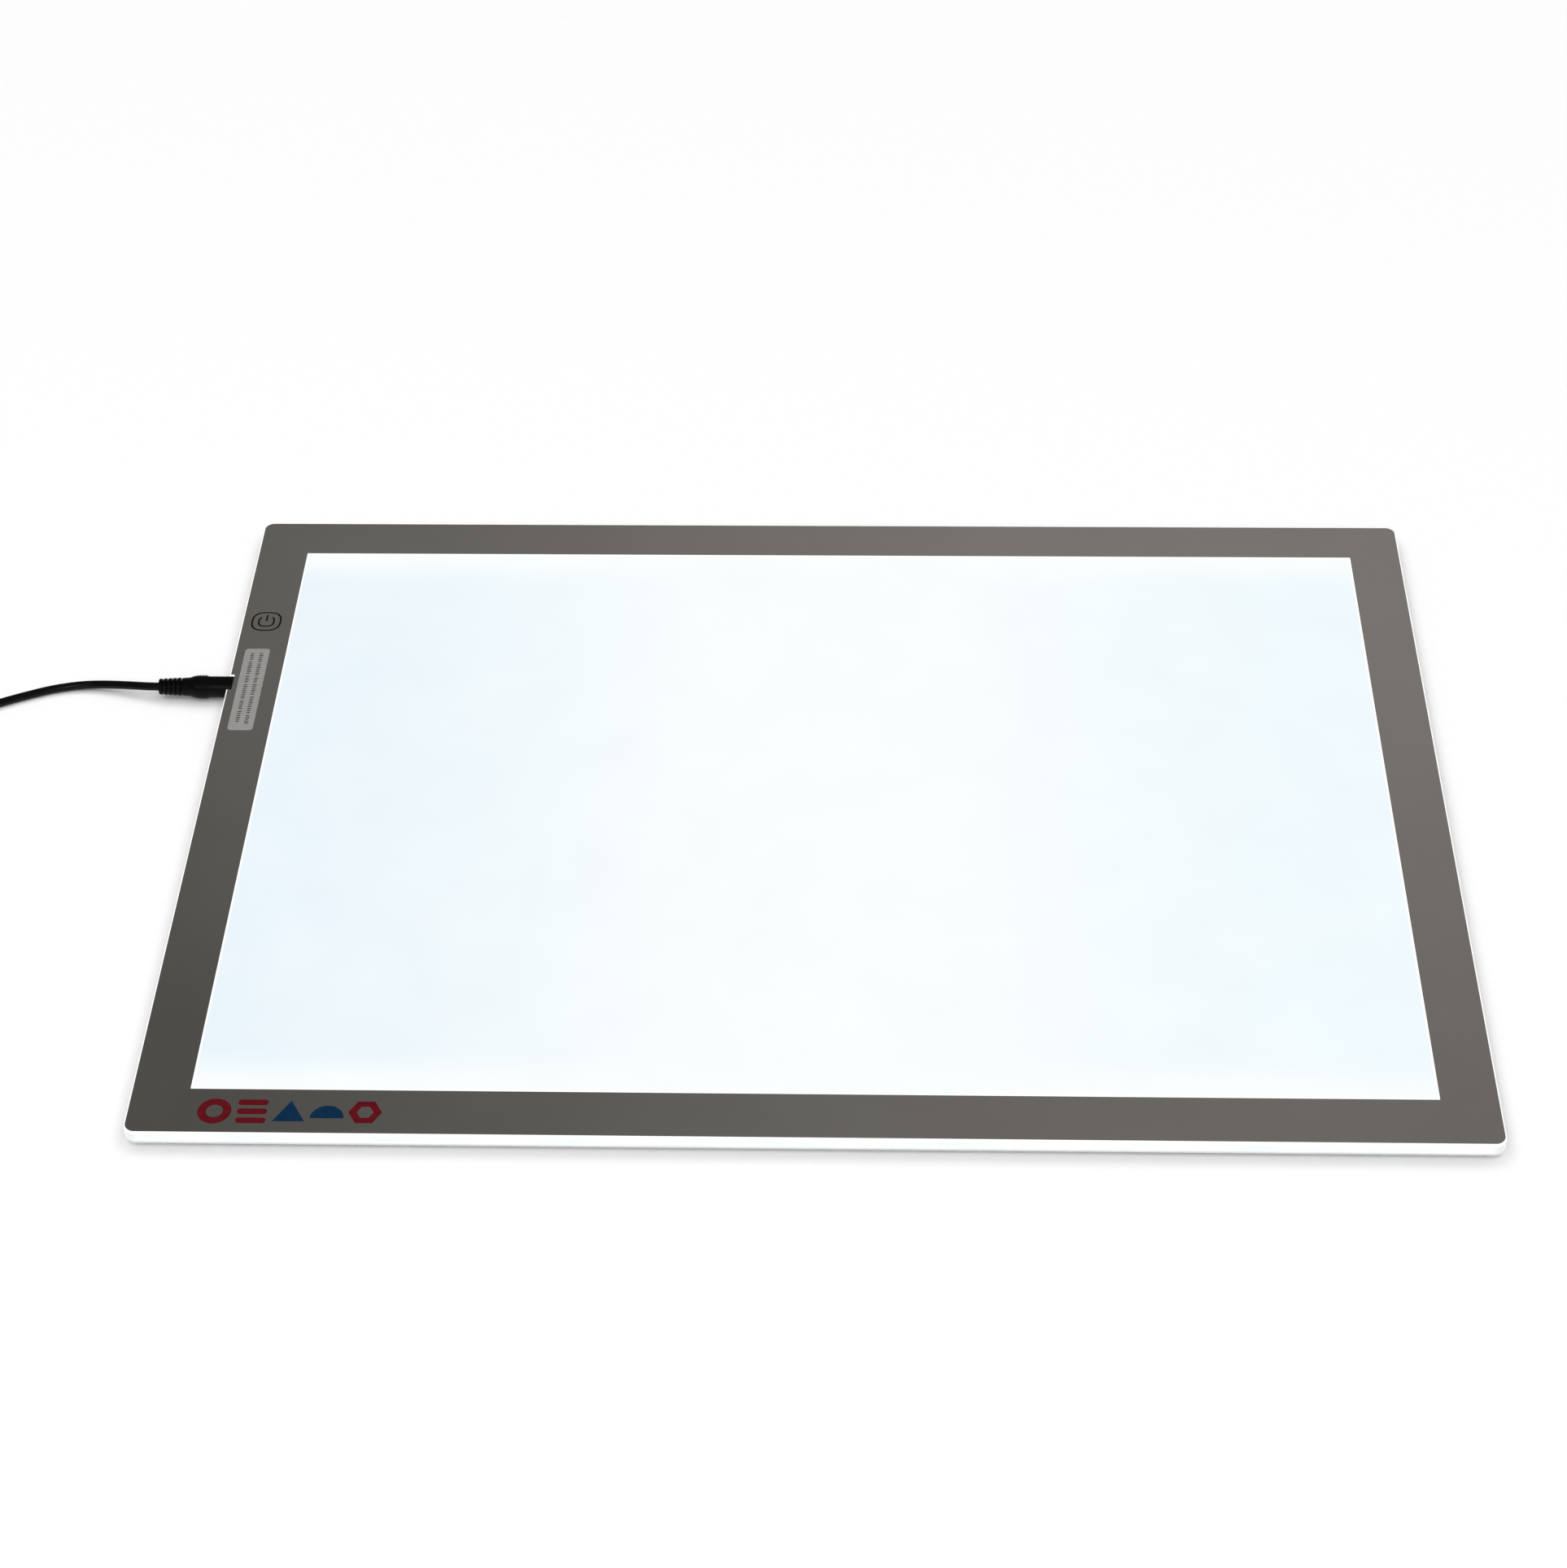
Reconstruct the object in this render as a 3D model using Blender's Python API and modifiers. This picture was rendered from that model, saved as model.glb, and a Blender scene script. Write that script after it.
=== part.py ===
"""A3 LED light box with its mains adaptor, in metres with +Z up.

The origin lies on the table, under the centre of the panel.
+X runs along the panel's long side and +Y to its back.
The lead leaves the left edge, and a plug-in adaptor is on its far end.
"""

import math

import bmesh
import bpy
from mathutils import Matrix, Vector

# Panel outline. The lit window is an A3 sheet, 420 x 297 mm, inside a border of equal width.
WINDOW_LENGTH = 0.420
WINDOW_DEPTH = 0.297
BORDER_WIDTH = 0.020
PANEL_LENGTH = WINDOW_LENGTH + 2 * BORDER_WIDTH
PANEL_DEPTH = WINDOW_DEPTH + 2 * BORDER_WIDTH
CORNER_RADIUS = 0.004
LEFT = -PANEL_LENGTH / 2
FRONT = -PANEL_DEPTH / 2

# Layers of the panel, as (underside, top).
FOOT_Z = (0.0, 0.00180)
BACK_PLATE_Z = (0.00200, 0.00260)
LOWER_TAPE_Z = (0.00265, 0.00275)
REFLECTOR_Z = (0.00275, 0.00295)
LIGHT_GUIDE_Z = (0.00310, 0.00560)
DIFFUSER_Z = (0.00575, 0.00595)
EDGE_STRIP_Z = (0.00280, 0.00590)
UPPER_TAPE_Z = (0.00595, 0.00605)
COVER_Z = (0.00610, 0.00715)
BORDER_FILM_Z = (0.00725, 0.00750)
LABEL_Z = (0.00755, 0.00765)

# Edges: a strip all round, a film that stops just inside the cover, and room for lamps and wires.
EDGE_STRIP_WIDTH = 0.003
EDGE_STRIP_SEAM = 0.005
SEAM_GAP = 0.0002
FILM_INSET = 0.0005
TAPE_WIDTH = 0.0024
TAPE_INSET = 0.0003
LAMP_BOARD_THICKNESS = 0.0004
LAMP_BOARD_Z = (0.00290, 0.00565)
LAMP_BOARD_X = (-0.2200, 0.2050)
LAMP_BOARD_GAP = 0.0002
LAMP_COUNT = 32
LAMP_SIZE = (0.0030, 0.0010, 0.0014)
LAMP_FIRST_X = -0.1938
LAMP_PITCH = 0.0125
LIGHT_GUIDE_LEFT = -0.2212
LIGHT_GUIDE_RIGHT = 0.2266
LIGHT_GUIDE_HALF_DEPTH = 0.1636

# Feet and label.
FOOT_INSET = 0.024
FOOT_RADIUS = 0.0048
LABEL_SIZE = (0.0097, 0.0491)
LABEL_CORNER = 0.0015
LABEL_CENTRE = (-0.22115, 0.06225)

# Electronics bay in the left border.
BAY_RIGHT = -0.2116
BAY_Y = (0.0560, 0.1320)
BOARD_X = (-0.2266, -0.2124)
BOARD_Y = (0.0580, 0.1300)
BOARD_Z = (0.00290, 0.00370)
TOUCH_KEY_Y = 0.104
TOUCH_KEY_X = -0.2204

# Socket and plug share one axis, along X.
PLUG_Y = 0.0666
PLUG_Z = 0.0049
NOTCH_DEPTH = 0.0020
NOTCH_WIDTH = 0.0088
SOCKET_X = (-0.2277, -0.2165)
SOCKET_WIDTH = 0.0088
SOCKET_Z = (0.00275, 0.00710)
SOCKET_BORE_RADIUS = 0.00185
SOCKET_BORE_END = -0.2175
SOCKET_CLEARANCE = 0.0003
CENTRE_PIN_RADIUS = 0.0006
PLUG_FACE_X = -0.2280
PLUG_TAIL_X = -0.2568
BARREL_RADIUS = 0.00175
BARREL_TIP_X = -0.2185
BARREL_ROOT_X = -0.2340
ROUND_STEPS = 24

# Lead: a route of chosen points from the plug to the coil, the coil, and on to the adaptor.
CORD_DIAMETER = 0.0032
CORD_RADIUS = CORD_DIAMETER / 2
LEAD_ROUTE = [
    (-0.2535, 0.0666, 0.0049),
    (-0.2568, 0.0666, 0.0049),
    (-0.2622, 0.0670, 0.0047),
    (-0.2688, 0.0682, 0.0041),
    (-0.2755, 0.0695, 0.0033),
    (-0.2821, 0.0704, 0.0026),
    (-0.2886, 0.0705, 0.0021),
    (-0.2948, 0.0696, 0.0018),
    (-0.3009, 0.0679, 0.0017),
    (-0.3068, 0.0655, 0.0017),
    (-0.3126, 0.0629, 0.0017),
    (-0.3184, 0.0601, 0.0017),
    (-0.3255, 0.0567, 0.0017),
    (-0.3330, 0.0531, 0.0018),
    (-0.3425, 0.0486, 0.0020),
    (-0.3518, 0.0441, 0.0022),
]
TAIL_ROUTE = [
    (-0.3760, 0.0058, 0.0108),
    (-0.3757, -0.0020, 0.0094),
    (-0.3745, -0.0100, 0.0086),
    (-0.3728, -0.0190, 0.0087),
    (-0.3715, -0.0270, 0.0096),
    (-0.3710, -0.0340, 0.0100),
    (-0.3710, -0.0480, 0.0100),
]
CORD_POINT_SPACING = 0.008
COIL_CENTRE = (-0.3539, 0.0187)
COIL_MID_RADIUS = 0.0189
COIL_TURNS_ACROSS = 3
COIL_LAYERS = 4
COIL_BASE_Z = 0.0007
COIL_STEPS = 40
TIE_THICKNESS = 0.0004
TIE_WIDTH = 0.0060
TIE_GAP = 0.0002

# Adaptor, lying on its back with its pins up.
ADAPTOR_CENTRE = (-0.3710, -0.0830)
ADAPTOR_WIDTH = 0.046
ADAPTOR_LENGTH = 0.060
ADAPTOR_SPLIT_Z = 0.0190
ADAPTOR_TOP_Z = 0.0300
ADAPTOR_BASE_Z = 0.0001
ADAPTOR_WALL = 0.002
ADAPTOR_CORNER = 0.005
RELIEF_Z = 0.0100
PIN_HOLE_GAP = 0.0003
LIVE_PIN = (0.00635, 0.0040, 0.0177)
EARTH_PIN = (0.0040, 0.0080, 0.0227)
LIVE_PIN_SPACING = 0.0222
EARTH_PIN_OFFSET = 0.0224
LIVE_PIN_Y = 0.0100

parts = bpy.data.collections.new("light_box")
cutters = bpy.data.collections.new("light_box_cutters")


def clear_scene():
    for obj in list(bpy.data.objects):
        bpy.data.objects.remove(obj, do_unlink=True)
    for collection in (parts, cutters):
        bpy.context.scene.collection.children.link(collection)
    cutters.hide_render = True


def material(name, colour, roughness, metallic=0.0, alpha=1.0, glow=0.0):
    made = bpy.data.materials.new(name)
    made.use_nodes = True
    shader = made.node_tree.nodes["Principled BSDF"]
    shader.inputs["Base Color"].default_value = (*colour, 1.0)
    shader.inputs["Roughness"].default_value = roughness
    shader.inputs["Metallic"].default_value = metallic
    shader.inputs["Alpha"].default_value = alpha
    shader.inputs["Emission Color"].default_value = (*colour, 1.0)
    shader.inputs["Emission Strength"].default_value = glow
    made.diffuse_color = (*colour, alpha)
    return made


def as_cutter(obj):
    for holder in list(obj.users_collection):
        holder.objects.unlink(obj)
    cutters.objects.link(obj)
    obj.hide_render = True
    obj.display_type = "WIRE"
    return obj


def shade_round(obj, angle=math.radians(35)):
    obj.data.shade_smooth()
    obj.data.set_sharp_from_angle(angle=angle)
    return obj


def box(name, low, high, look=None):
    """A box between two corners, with its origin at its middle."""
    middle = [(a + b) / 2 for a, b in zip(low, high)]
    size = [b - a for a, b in zip(low, high)]
    mesh = bpy.data.meshes.new(name)
    shape = bmesh.new()
    bmesh.ops.create_cube(shape, size=1.0, matrix=Matrix.Diagonal((*size, 1.0)))
    shape.to_mesh(mesh)
    shape.free()
    obj = bpy.data.objects.new(name, mesh)
    parts.objects.link(obj)
    obj.location = middle
    if look:
        mesh.materials.append(look)
    return obj


def cutting_box(name, low, high):
    return as_cutter(box(name, low, high))


def combine(obj, other, operation):
    step = obj.modifiers.new(f"{operation.lower()} {other.name}", "BOOLEAN")
    step.operation = operation
    step.solver = "EXACT"
    step.object = other
    return obj


def cut(obj, *others):
    for other in others:
        combine(obj, other, "DIFFERENCE")
    return obj


def bevel(obj, width, segments=2, angle=math.radians(40)):
    step = obj.modifiers.new("rounded edges", "BEVEL")
    step.width = width
    step.segments = segments
    step.limit_method = "ANGLE"
    step.angle_limit = angle
    step.use_clamp_overlap = True
    return obj


def rounded_outline(length, depth, radius, steps=5):
    """Points round a rectangle with round corners, anticlockwise from the right end of its back edge."""
    points = []
    for quarter, (side_x, side_y) in enumerate(((1, 1), (-1, 1), (-1, -1), (1, -1))):
        centre_x = side_x * (length / 2 - radius)
        centre_y = side_y * (depth / 2 - radius)
        for step in range(steps + 1):
            angle = math.pi / 2 * (quarter + step / steps)
            points.append((centre_x + radius * math.cos(angle), centre_y + radius * math.sin(angle)))
    return points


def rectangle(left, front, right, back):
    return [(left, front), (right, front), (right, back), (left, back)]


def plate(name, outlines, levels, look=None):
    """A flat piece: the first outline filled, with every other outline a hole through it."""
    low, high = levels
    curve = bpy.data.curves.new(name, "CURVE")
    curve.dimensions = "2D"
    curve.fill_mode = "BOTH"
    curve.extrude = (high - low) / 2
    for outline in outlines:
        spline = curve.splines.new("POLY")
        spline.points.add(len(outline) - 1)
        for point, (x, y) in zip(spline.points, outline):
            point.co = (x, y, 0.0, 1.0)
        spline.use_cyclic_u = True
    guide = bpy.data.objects.new(name + "_outline", curve)
    cutters.objects.link(guide)
    guide.location.z = (low + high) / 2
    bpy.context.view_layer.update()
    evaluated = guide.evaluated_get(bpy.context.evaluated_depsgraph_get())
    mesh = bpy.data.meshes.new_from_object(evaluated)
    mesh.name = name
    shape = bmesh.new()
    shape.from_mesh(mesh)
    bmesh.ops.remove_doubles(shape, verts=shape.verts, dist=1e-6)
    bmesh.ops.recalc_face_normals(shape, faces=shape.faces)
    shape.to_mesh(mesh)
    shape.free()
    obj = bpy.data.objects.new(name, mesh)
    parts.objects.link(obj)
    obj.matrix_world = guide.matrix_world
    bpy.data.objects.remove(guide)
    if look:
        mesh.materials.append(look)
    return obj


def turned(name, profile, start, direction, look=None, steps=ROUND_STEPS):
    """A turned piece. The profile holds (distance along the axis, radius) from one end to the other."""
    mesh = bpy.data.meshes.new(name)
    shape = bmesh.new()
    rows = [shape.verts.new((radius, 0.0, -along)) for along, radius in profile]
    for first, second in zip(rows, rows[1:]):
        shape.edges.new((first, second))
    if profile[0] != profile[-1] and profile[0][1] > 0.0:
        shape.edges.new((rows[-1], rows[0]))
    shape.to_mesh(mesh)
    shape.free()
    obj = bpy.data.objects.new(name, mesh)
    parts.objects.link(obj)
    obj.location = start
    obj.rotation_euler = Vector((0.0, 0.0, -1.0)).rotation_difference(Vector(direction)).to_euler()
    spin = obj.modifiers.new("turned", "SCREW")
    spin.axis = "Z"
    spin.steps = steps
    spin.render_steps = steps
    spin.use_merge_vertices = True
    spin.merge_threshold = 0.00001
    spin.use_smooth_shade = True
    if look:
        mesh.materials.append(look)
    return obj


def bush(name, inner, outer, ends, look):
    """A plain round sleeve on the plug's axis, between two places along X."""
    low, high = ends
    length = high - low
    profile = [(0.0, outer), (length, outer), (length, inner), (0.0, inner)]
    return turned(name, profile, (low, PLUG_Y, PLUG_Z), (1.0, 0.0, 0.0), look)


def rod(name, radius, start, end, look=None, segments=16):
    """A solid round bar from one point to another."""
    start = Vector(start)
    end = Vector(end)
    along = end - start
    mesh = bpy.data.meshes.new(name)
    shape = bmesh.new()
    bmesh.ops.create_cone(
        shape,
        cap_ends=True,
        segments=segments,
        radius1=radius,
        radius2=radius,
        depth=along.length,
    )
    shape.to_mesh(mesh)
    shape.free()
    obj = bpy.data.objects.new(name, mesh)
    parts.objects.link(obj)
    obj.location = (start + end) / 2
    obj.rotation_euler = along.to_track_quat("Z", "Y").to_euler()
    if look:
        mesh.materials.append(look)
    return shade_round(obj)


def tube(name, points, radius, look, bevel_resolution=2):
    """A wire or cord of constant thickness along a list of points."""
    curve = bpy.data.curves.new(name, "CURVE")
    curve.dimensions = "3D"
    curve.bevel_depth = radius
    curve.bevel_resolution = bevel_resolution
    curve.use_fill_caps = True
    spline = curve.splines.new("POLY")
    spline.points.add(len(points) - 1)
    for point, place_at in zip(spline.points, points):
        point.co = (*place_at, 1.0)
    curve.materials.append(look)
    obj = bpy.data.objects.new(name, curve)
    parts.objects.link(obj)
    return obj


def smooth_route(points, spacing):
    """Points about a spacing apart along the smooth curve through the given ones."""
    chosen = [Vector(point) for point in points]
    ends = [2 * chosen[0] - chosen[1]] + chosen + [2 * chosen[-1] - chosen[-2]]
    fine = []
    for before, start, end, after in zip(ends, ends[1:], ends[2:], ends[3:]):
        pieces = 12
        for step in range(pieces):
            t = step / pieces
            fine.append(
                0.5
                * (
                    2 * start
                    + (end - before) * t
                    + (2 * before - 5 * start + 4 * end - after) * t**2
                    + (3 * start - before - 3 * end + after) * t**3
                )
            )
    fine.append(chosen[-1])
    kept = [fine[0]]
    run = 0.0
    for last, point in zip(fine, fine[1:]):
        run += (point - last).length
        if run >= spacing:
            kept.append(point)
            run = 0.0
    if (kept[-1] - fine[-1]).length > spacing / 3:
        kept.append(fine[-1])
    else:
        kept[-1] = fine[-1]
    return kept


def edge_notch(name, half_width, depth, z_low, z_high):
    """A cutter that opens the left edge around the plug's axis."""
    return cutting_box(
        name,
        (LEFT - 0.005, PLUG_Y - half_width, z_low),
        (LEFT + depth, PLUG_Y + half_width, z_high),
    )


def back_plate(look):
    outline = rounded_outline(PANEL_LENGTH, PANEL_DEPTH, CORNER_RADIUS)
    obj = plate("back_plate", [outline], BACK_PLATE_Z, look)
    return cut(obj, edge_notch("back_plate_notch", NOTCH_WIDTH / 2, NOTCH_DEPTH, 0.0, 0.005))


def bay_cutter(name):
    """Room for the electronics, taken out of a sheet's left side."""
    return cutting_box(name, (LEFT, BAY_Y[0], 0.0), (BAY_RIGHT, BAY_Y[1], 0.010))


def optical_sheet(name, levels, inset, look):
    """A sheet behind the window, with room for the electronics at its left side."""
    outline = rectangle(
        LIGHT_GUIDE_LEFT + inset,
        -LIGHT_GUIDE_HALF_DEPTH + inset,
        LIGHT_GUIDE_RIGHT - inset,
        LIGHT_GUIDE_HALF_DEPTH - inset,
    )
    obj = plate(name, [outline], levels, look)
    return cut(obj, bay_cutter(name + "_bay"))


def cover_sheet(look):
    outline = rounded_outline(PANEL_LENGTH, PANEL_DEPTH, CORNER_RADIUS)
    obj = plate("cover_sheet", [outline], COVER_Z, look)
    socket_room = SOCKET_X[1] - LEFT + SOCKET_CLEARANCE
    half_width = SOCKET_WIDTH / 2 + SOCKET_CLEARANCE
    return cut(obj, edge_notch("cover_socket_room", half_width, socket_room, 0.005, 0.010))


def border_film(look):
    length = PANEL_LENGTH - 2 * FILM_INSET
    depth = PANEL_DEPTH - 2 * FILM_INSET
    outline = rounded_outline(length, depth, CORNER_RADIUS - FILM_INSET)
    half_length = WINDOW_LENGTH / 2
    half_depth = WINDOW_DEPTH / 2
    window = rectangle(-half_length, -half_depth, half_length, half_depth)
    obj = plate("border_film", [outline, window], BORDER_FILM_Z, look)
    return cut(obj, edge_notch("film_notch", NOTCH_WIDTH / 2 - 0.0003, NOTCH_DEPTH, 0.005, 0.010))


def edge_frame(name, inset, width, levels, look=None):
    """A closed frame that follows the panel's edge."""
    outer = rounded_outline(PANEL_LENGTH - 2 * inset, PANEL_DEPTH - 2 * inset, CORNER_RADIUS - inset)
    far = inset + width
    inner = rounded_outline(PANEL_LENGTH - 2 * far, PANEL_DEPTH - 2 * far, max(CORNER_RADIUS - far, 0.0008))
    return plate(name, [outer, inner], levels, look)


def edge_strips(look):
    """The glowing strips round the edge. Each holds one round corner, and the left side is open at the socket."""
    seam_x = LEFT + EDGE_STRIP_SEAM
    seam_y = FRONT + EDGE_STRIP_SEAM
    far = 0.3
    gap = SEAM_GAP
    socket_front = PLUG_Y - NOTCH_WIDTH / 2 - 0.0001
    socket_back = PLUG_Y + NOTCH_WIDTH / 2 + 0.0001
    regions = {
        "edge_strip_front": ((seam_x + gap, -far), (far, seam_y)),
        "edge_strip_right": ((-seam_x, seam_y + gap), (far, far)),
        "edge_strip_rear": ((-far, -seam_y), (-seam_x - gap, far)),
        "edge_strip_left_rear": ((-far, socket_back), (seam_x, -seam_y - gap)),
        "edge_strip_left_front": ((-far, -far), (seam_x, socket_front)),
    }
    low, high = EDGE_STRIP_Z
    for name, ((x0, y0), (x1, y1)) in regions.items():
        strip = edge_frame(name, 0.0, EDGE_STRIP_WIDTH, EDGE_STRIP_Z, look)
        region = cutting_box(name + "_region", (x0, y0, low - 0.001), (x1, y1, high + 0.001))
        combine(strip, region, "INTERSECT")


def adhesive_tapes(look):
    """Double-sided tape above and below the edge strips, left open at the socket."""
    for name, levels in (("lower_tape", LOWER_TAPE_Z), ("upper_tape", UPPER_TAPE_Z)):
        tape = edge_frame(name, TAPE_INSET, TAPE_WIDTH, levels, look)
        half_width = SOCKET_WIDTH / 2 + SOCKET_CLEARANCE
        cut(tape, edge_notch(name + "_gap", half_width, 0.010, 0.0, 0.010))


def lamp_strip(name, side, look):
    """A board on edge with its row of lamps, facing the light guide from the front (-1) or the back (1)."""
    wall = side * (PANEL_DEPTH / 2 - EDGE_STRIP_WIDTH - LAMP_BOARD_GAP)
    face = wall - side * LAMP_BOARD_THICKNESS
    lows = (LAMP_BOARD_X[0], min(wall, face), LAMP_BOARD_Z[0])
    highs = (LAMP_BOARD_X[1], max(wall, face), LAMP_BOARD_Z[1])
    board = box(name, lows, highs, look)
    length, width, height = LAMP_SIZE
    tip = face - side * (width - 0.0002)
    root = face + side * 0.0002
    middle_z = (LIGHT_GUIDE_Z[0] + LIGHT_GUIDE_Z[1]) / 2
    lamp = cutting_box(
        name + "_lamps",
        (LAMP_FIRST_X - length / 2, min(root, tip), middle_z - height / 2),
        (LAMP_FIRST_X + length / 2, max(root, tip), middle_z + height / 2),
    )
    row = lamp.modifiers.new("row", "ARRAY")
    row.count = LAMP_COUNT
    row.use_relative_offset = False
    row.use_constant_offset = True
    row.constant_offset_displace = (LAMP_PITCH, 0.0, 0.0)
    row.use_merge_vertices = False
    return combine(board, lamp, "UNION")


def control_board(look):
    board = box("control_board", *zip(BOARD_X, BOARD_Y, BOARD_Z), look)
    half_width = SOCKET_WIDTH / 2 + SOCKET_CLEARANCE
    room = cutting_box(
        "board_socket_room",
        (LEFT, PLUG_Y - half_width, 0.0),
        (SOCKET_X[1] + SOCKET_CLEARANCE, PLUG_Y + half_width, 0.010),
    )
    return cut(board, room)


def on_board(name, centre, size, look, edge=0.00015):
    """A component standing on the control board."""
    base = BOARD_Z[1] + 0.0001
    x, y = centre
    length, width, height = size
    low = (x - length / 2, y - width / 2, base)
    high = (x + length / 2, y + width / 2, base + height)
    return bevel(box(name, low, high, look), edge, 1)


def board_parts(chip, metal, foam, tape):
    on_board("touch_controller_chip", (-0.2160, 0.0900), (0.0039, 0.0049, 0.0014), chip)
    on_board("dimmer_transistor", (-0.2160, 0.0800), (0.0062, 0.0066, 0.0018), chip)
    on_board("voltage_regulator", (-0.2230, 0.0790), (0.0045, 0.0026, 0.0015), chip)
    on_board("storage_inductor", (-0.2160, 0.1190), (0.0050, 0.0050, 0.0020), metal)
    base = BOARD_Z[1] + 0.0001
    foot = (TOUCH_KEY_X, TOUCH_KEY_Y, base)
    head = (TOUCH_KEY_X, TOUCH_KEY_Y, UPPER_TAPE_Z[0])
    rod("touch_electrode", 0.0045, foot, head, foam, 24)
    box("board_tape", (-0.2262, 0.0760, 0.00265), (-0.2128, 0.1280, 0.00280), tape)


def socket(shell, metal):
    """The power socket: a moulded housing, its centre pin and the leaf that grips the plug's barrel."""
    half_width = SOCKET_WIDTH / 2
    housing = box(
        "dc_socket_housing",
        (SOCKET_X[0], PLUG_Y - half_width, SOCKET_Z[0]),
        (SOCKET_X[1], PLUG_Y + half_width, SOCKET_Z[1]),
        shell,
    )
    bore = as_cutter(
        rod(
            "socket_bore",
            SOCKET_BORE_RADIUS,
            (SOCKET_X[0] - 0.001, PLUG_Y, PLUG_Z),
            (SOCKET_BORE_END, PLUG_Y, PLUG_Z),
            None,
            ROUND_STEPS,
        )
    )
    pin_hole = as_cutter(
        rod(
            "socket_pin_hole",
            CENTRE_PIN_RADIUS + 0.0001,
            (SOCKET_BORE_END - 0.001, PLUG_Y, PLUG_Z),
            (SOCKET_X[1] + 0.001, PLUG_Y, PLUG_Z),
        )
    )
    leaf_slot = cutting_box(
        "socket_leaf_slot",
        (SOCKET_X[0] + 0.0010, PLUG_Y - 0.00245, PLUG_Z - 0.0010),
        (SOCKET_X[1] + 0.001, PLUG_Y - 0.0012, PLUG_Z + 0.0010),
    )
    cut(housing, bore, pin_hole, leaf_slot)
    pin_tip = (SOCKET_X[0] + 0.0022, PLUG_Y, PLUG_Z)
    pin_tail = (SOCKET_X[1] + 0.0025, PLUG_Y, PLUG_Z)
    rod("dc_socket_centre_pin", CENTRE_PIN_RADIUS, pin_tip, pin_tail, metal)
    box(
        "dc_socket_contact_leaf",
        (-0.2262, PLUG_Y - 0.00225, PLUG_Z - 0.0008),
        (-0.2145, PLUG_Y - 0.00195, PLUG_Z + 0.0008),
        metal,
    )


def feed_wires(red, black):
    """Two pairs of wires, from the board to the lamp strips along the left side."""
    lane_x = -0.2250
    board_height = BOARD_Z[1] + 0.0006
    lamp_x = LAMP_BOARD_X[0] - SEAM_GAP
    for end, side, board_y in (("front", -1, BOARD_Y[0] + 0.0015), ("rear", 1, BOARD_Y[1] - 0.0015)):
        lamp_y = side * (PANEL_DEPTH / 2 - EDGE_STRIP_WIDTH - 0.0010)
        for colour, height, step, look in (("red", 0.0041, 0.0, red), ("black", 0.0051, 0.0014, black)):
            points = [
                (lane_x + step, board_y, board_height),
                (lane_x, board_y + side * 0.008, height),
                (lane_x, lamp_y - side * 0.0050, height),
                (lane_x + 0.0012, lamp_y - side * 0.0012, height),
                (lamp_x, lamp_y, height),
            ]
            tube(f"{end}_feed_wire_{colour}", points, 0.0004, look, 1)


def rubber_feet(look):
    top = FOOT_Z[1]
    profile = [
        (0.0, 0.0),
        (0.0, FOOT_RADIUS),
        (top - 0.0004, FOOT_RADIUS - 0.0004),
        (top, FOOT_RADIUS - 0.0008),
        (top, 0.0),
    ]
    for side_x, across in ((-1, "left"), (1, "right")):
        for side_y, along in ((-1, "front"), (1, "rear")):
            x = side_x * (PANEL_LENGTH / 2 - FOOT_INSET)
            y = side_y * (PANEL_DEPTH / 2 - FOOT_INSET)
            turned(f"rubber_foot_{along}_{across}", profile, (x, y, top), (0.0, 0.0, -1.0), look)


def notice_label(look):
    label = plate("notice_label", [rounded_outline(*LABEL_SIZE, LABEL_CORNER, 3)], LABEL_Z, look)
    label.location.x, label.location.y = LABEL_CENTRE


def plug_profile():
    """(distance from the plug's face, radius) along the body, the hump, the taper and the ribbed relief."""
    hole_end = PLUG_FACE_X - BARREL_ROOT_X + SOCKET_CLEARANCE
    cord_hole_start = PLUG_FACE_X - PLUG_TAIL_X - 0.0040
    tail = PLUG_FACE_X - PLUG_TAIL_X
    hole_radius = BARREL_RADIUS + 0.0001
    profile = [
        (hole_end, 0.0),
        (hole_end, hole_radius),
        (0.0, hole_radius),
        (0.0, 0.0038),
        (0.0003, 0.0041),
        (0.0098, 0.0041),
        (0.0100, 0.0043),
        (0.0106, 0.0044),
        (0.0140, 0.0044),
        (0.0152, 0.0043),
        (0.0172, 0.0034),
    ]
    rib_pitch = 0.0020
    groove_width = 0.0006
    groove_radius = 0.0024
    rib = tail - 4 * rib_pitch + groove_width
    profile.append((rib - groove_width, 0.0033))
    for number in range(4):
        crest = 0.0033 - 0.0001 * number
        profile.append((rib - groove_width + 0.0001, groove_radius))
        profile.append((rib - 0.0001, groove_radius))
        profile.append((rib, crest))
        profile.append((rib + rib_pitch - groove_width, crest))
        rib += rib_pitch
    cord_hole = CORD_RADIUS + 0.00012
    profile[-1] = (tail, profile[-1][1])
    profile.append((tail, cord_hole))
    profile.append((cord_hole_start, cord_hole))
    profile.append((cord_hole_start, 0.0))
    return profile


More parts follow.
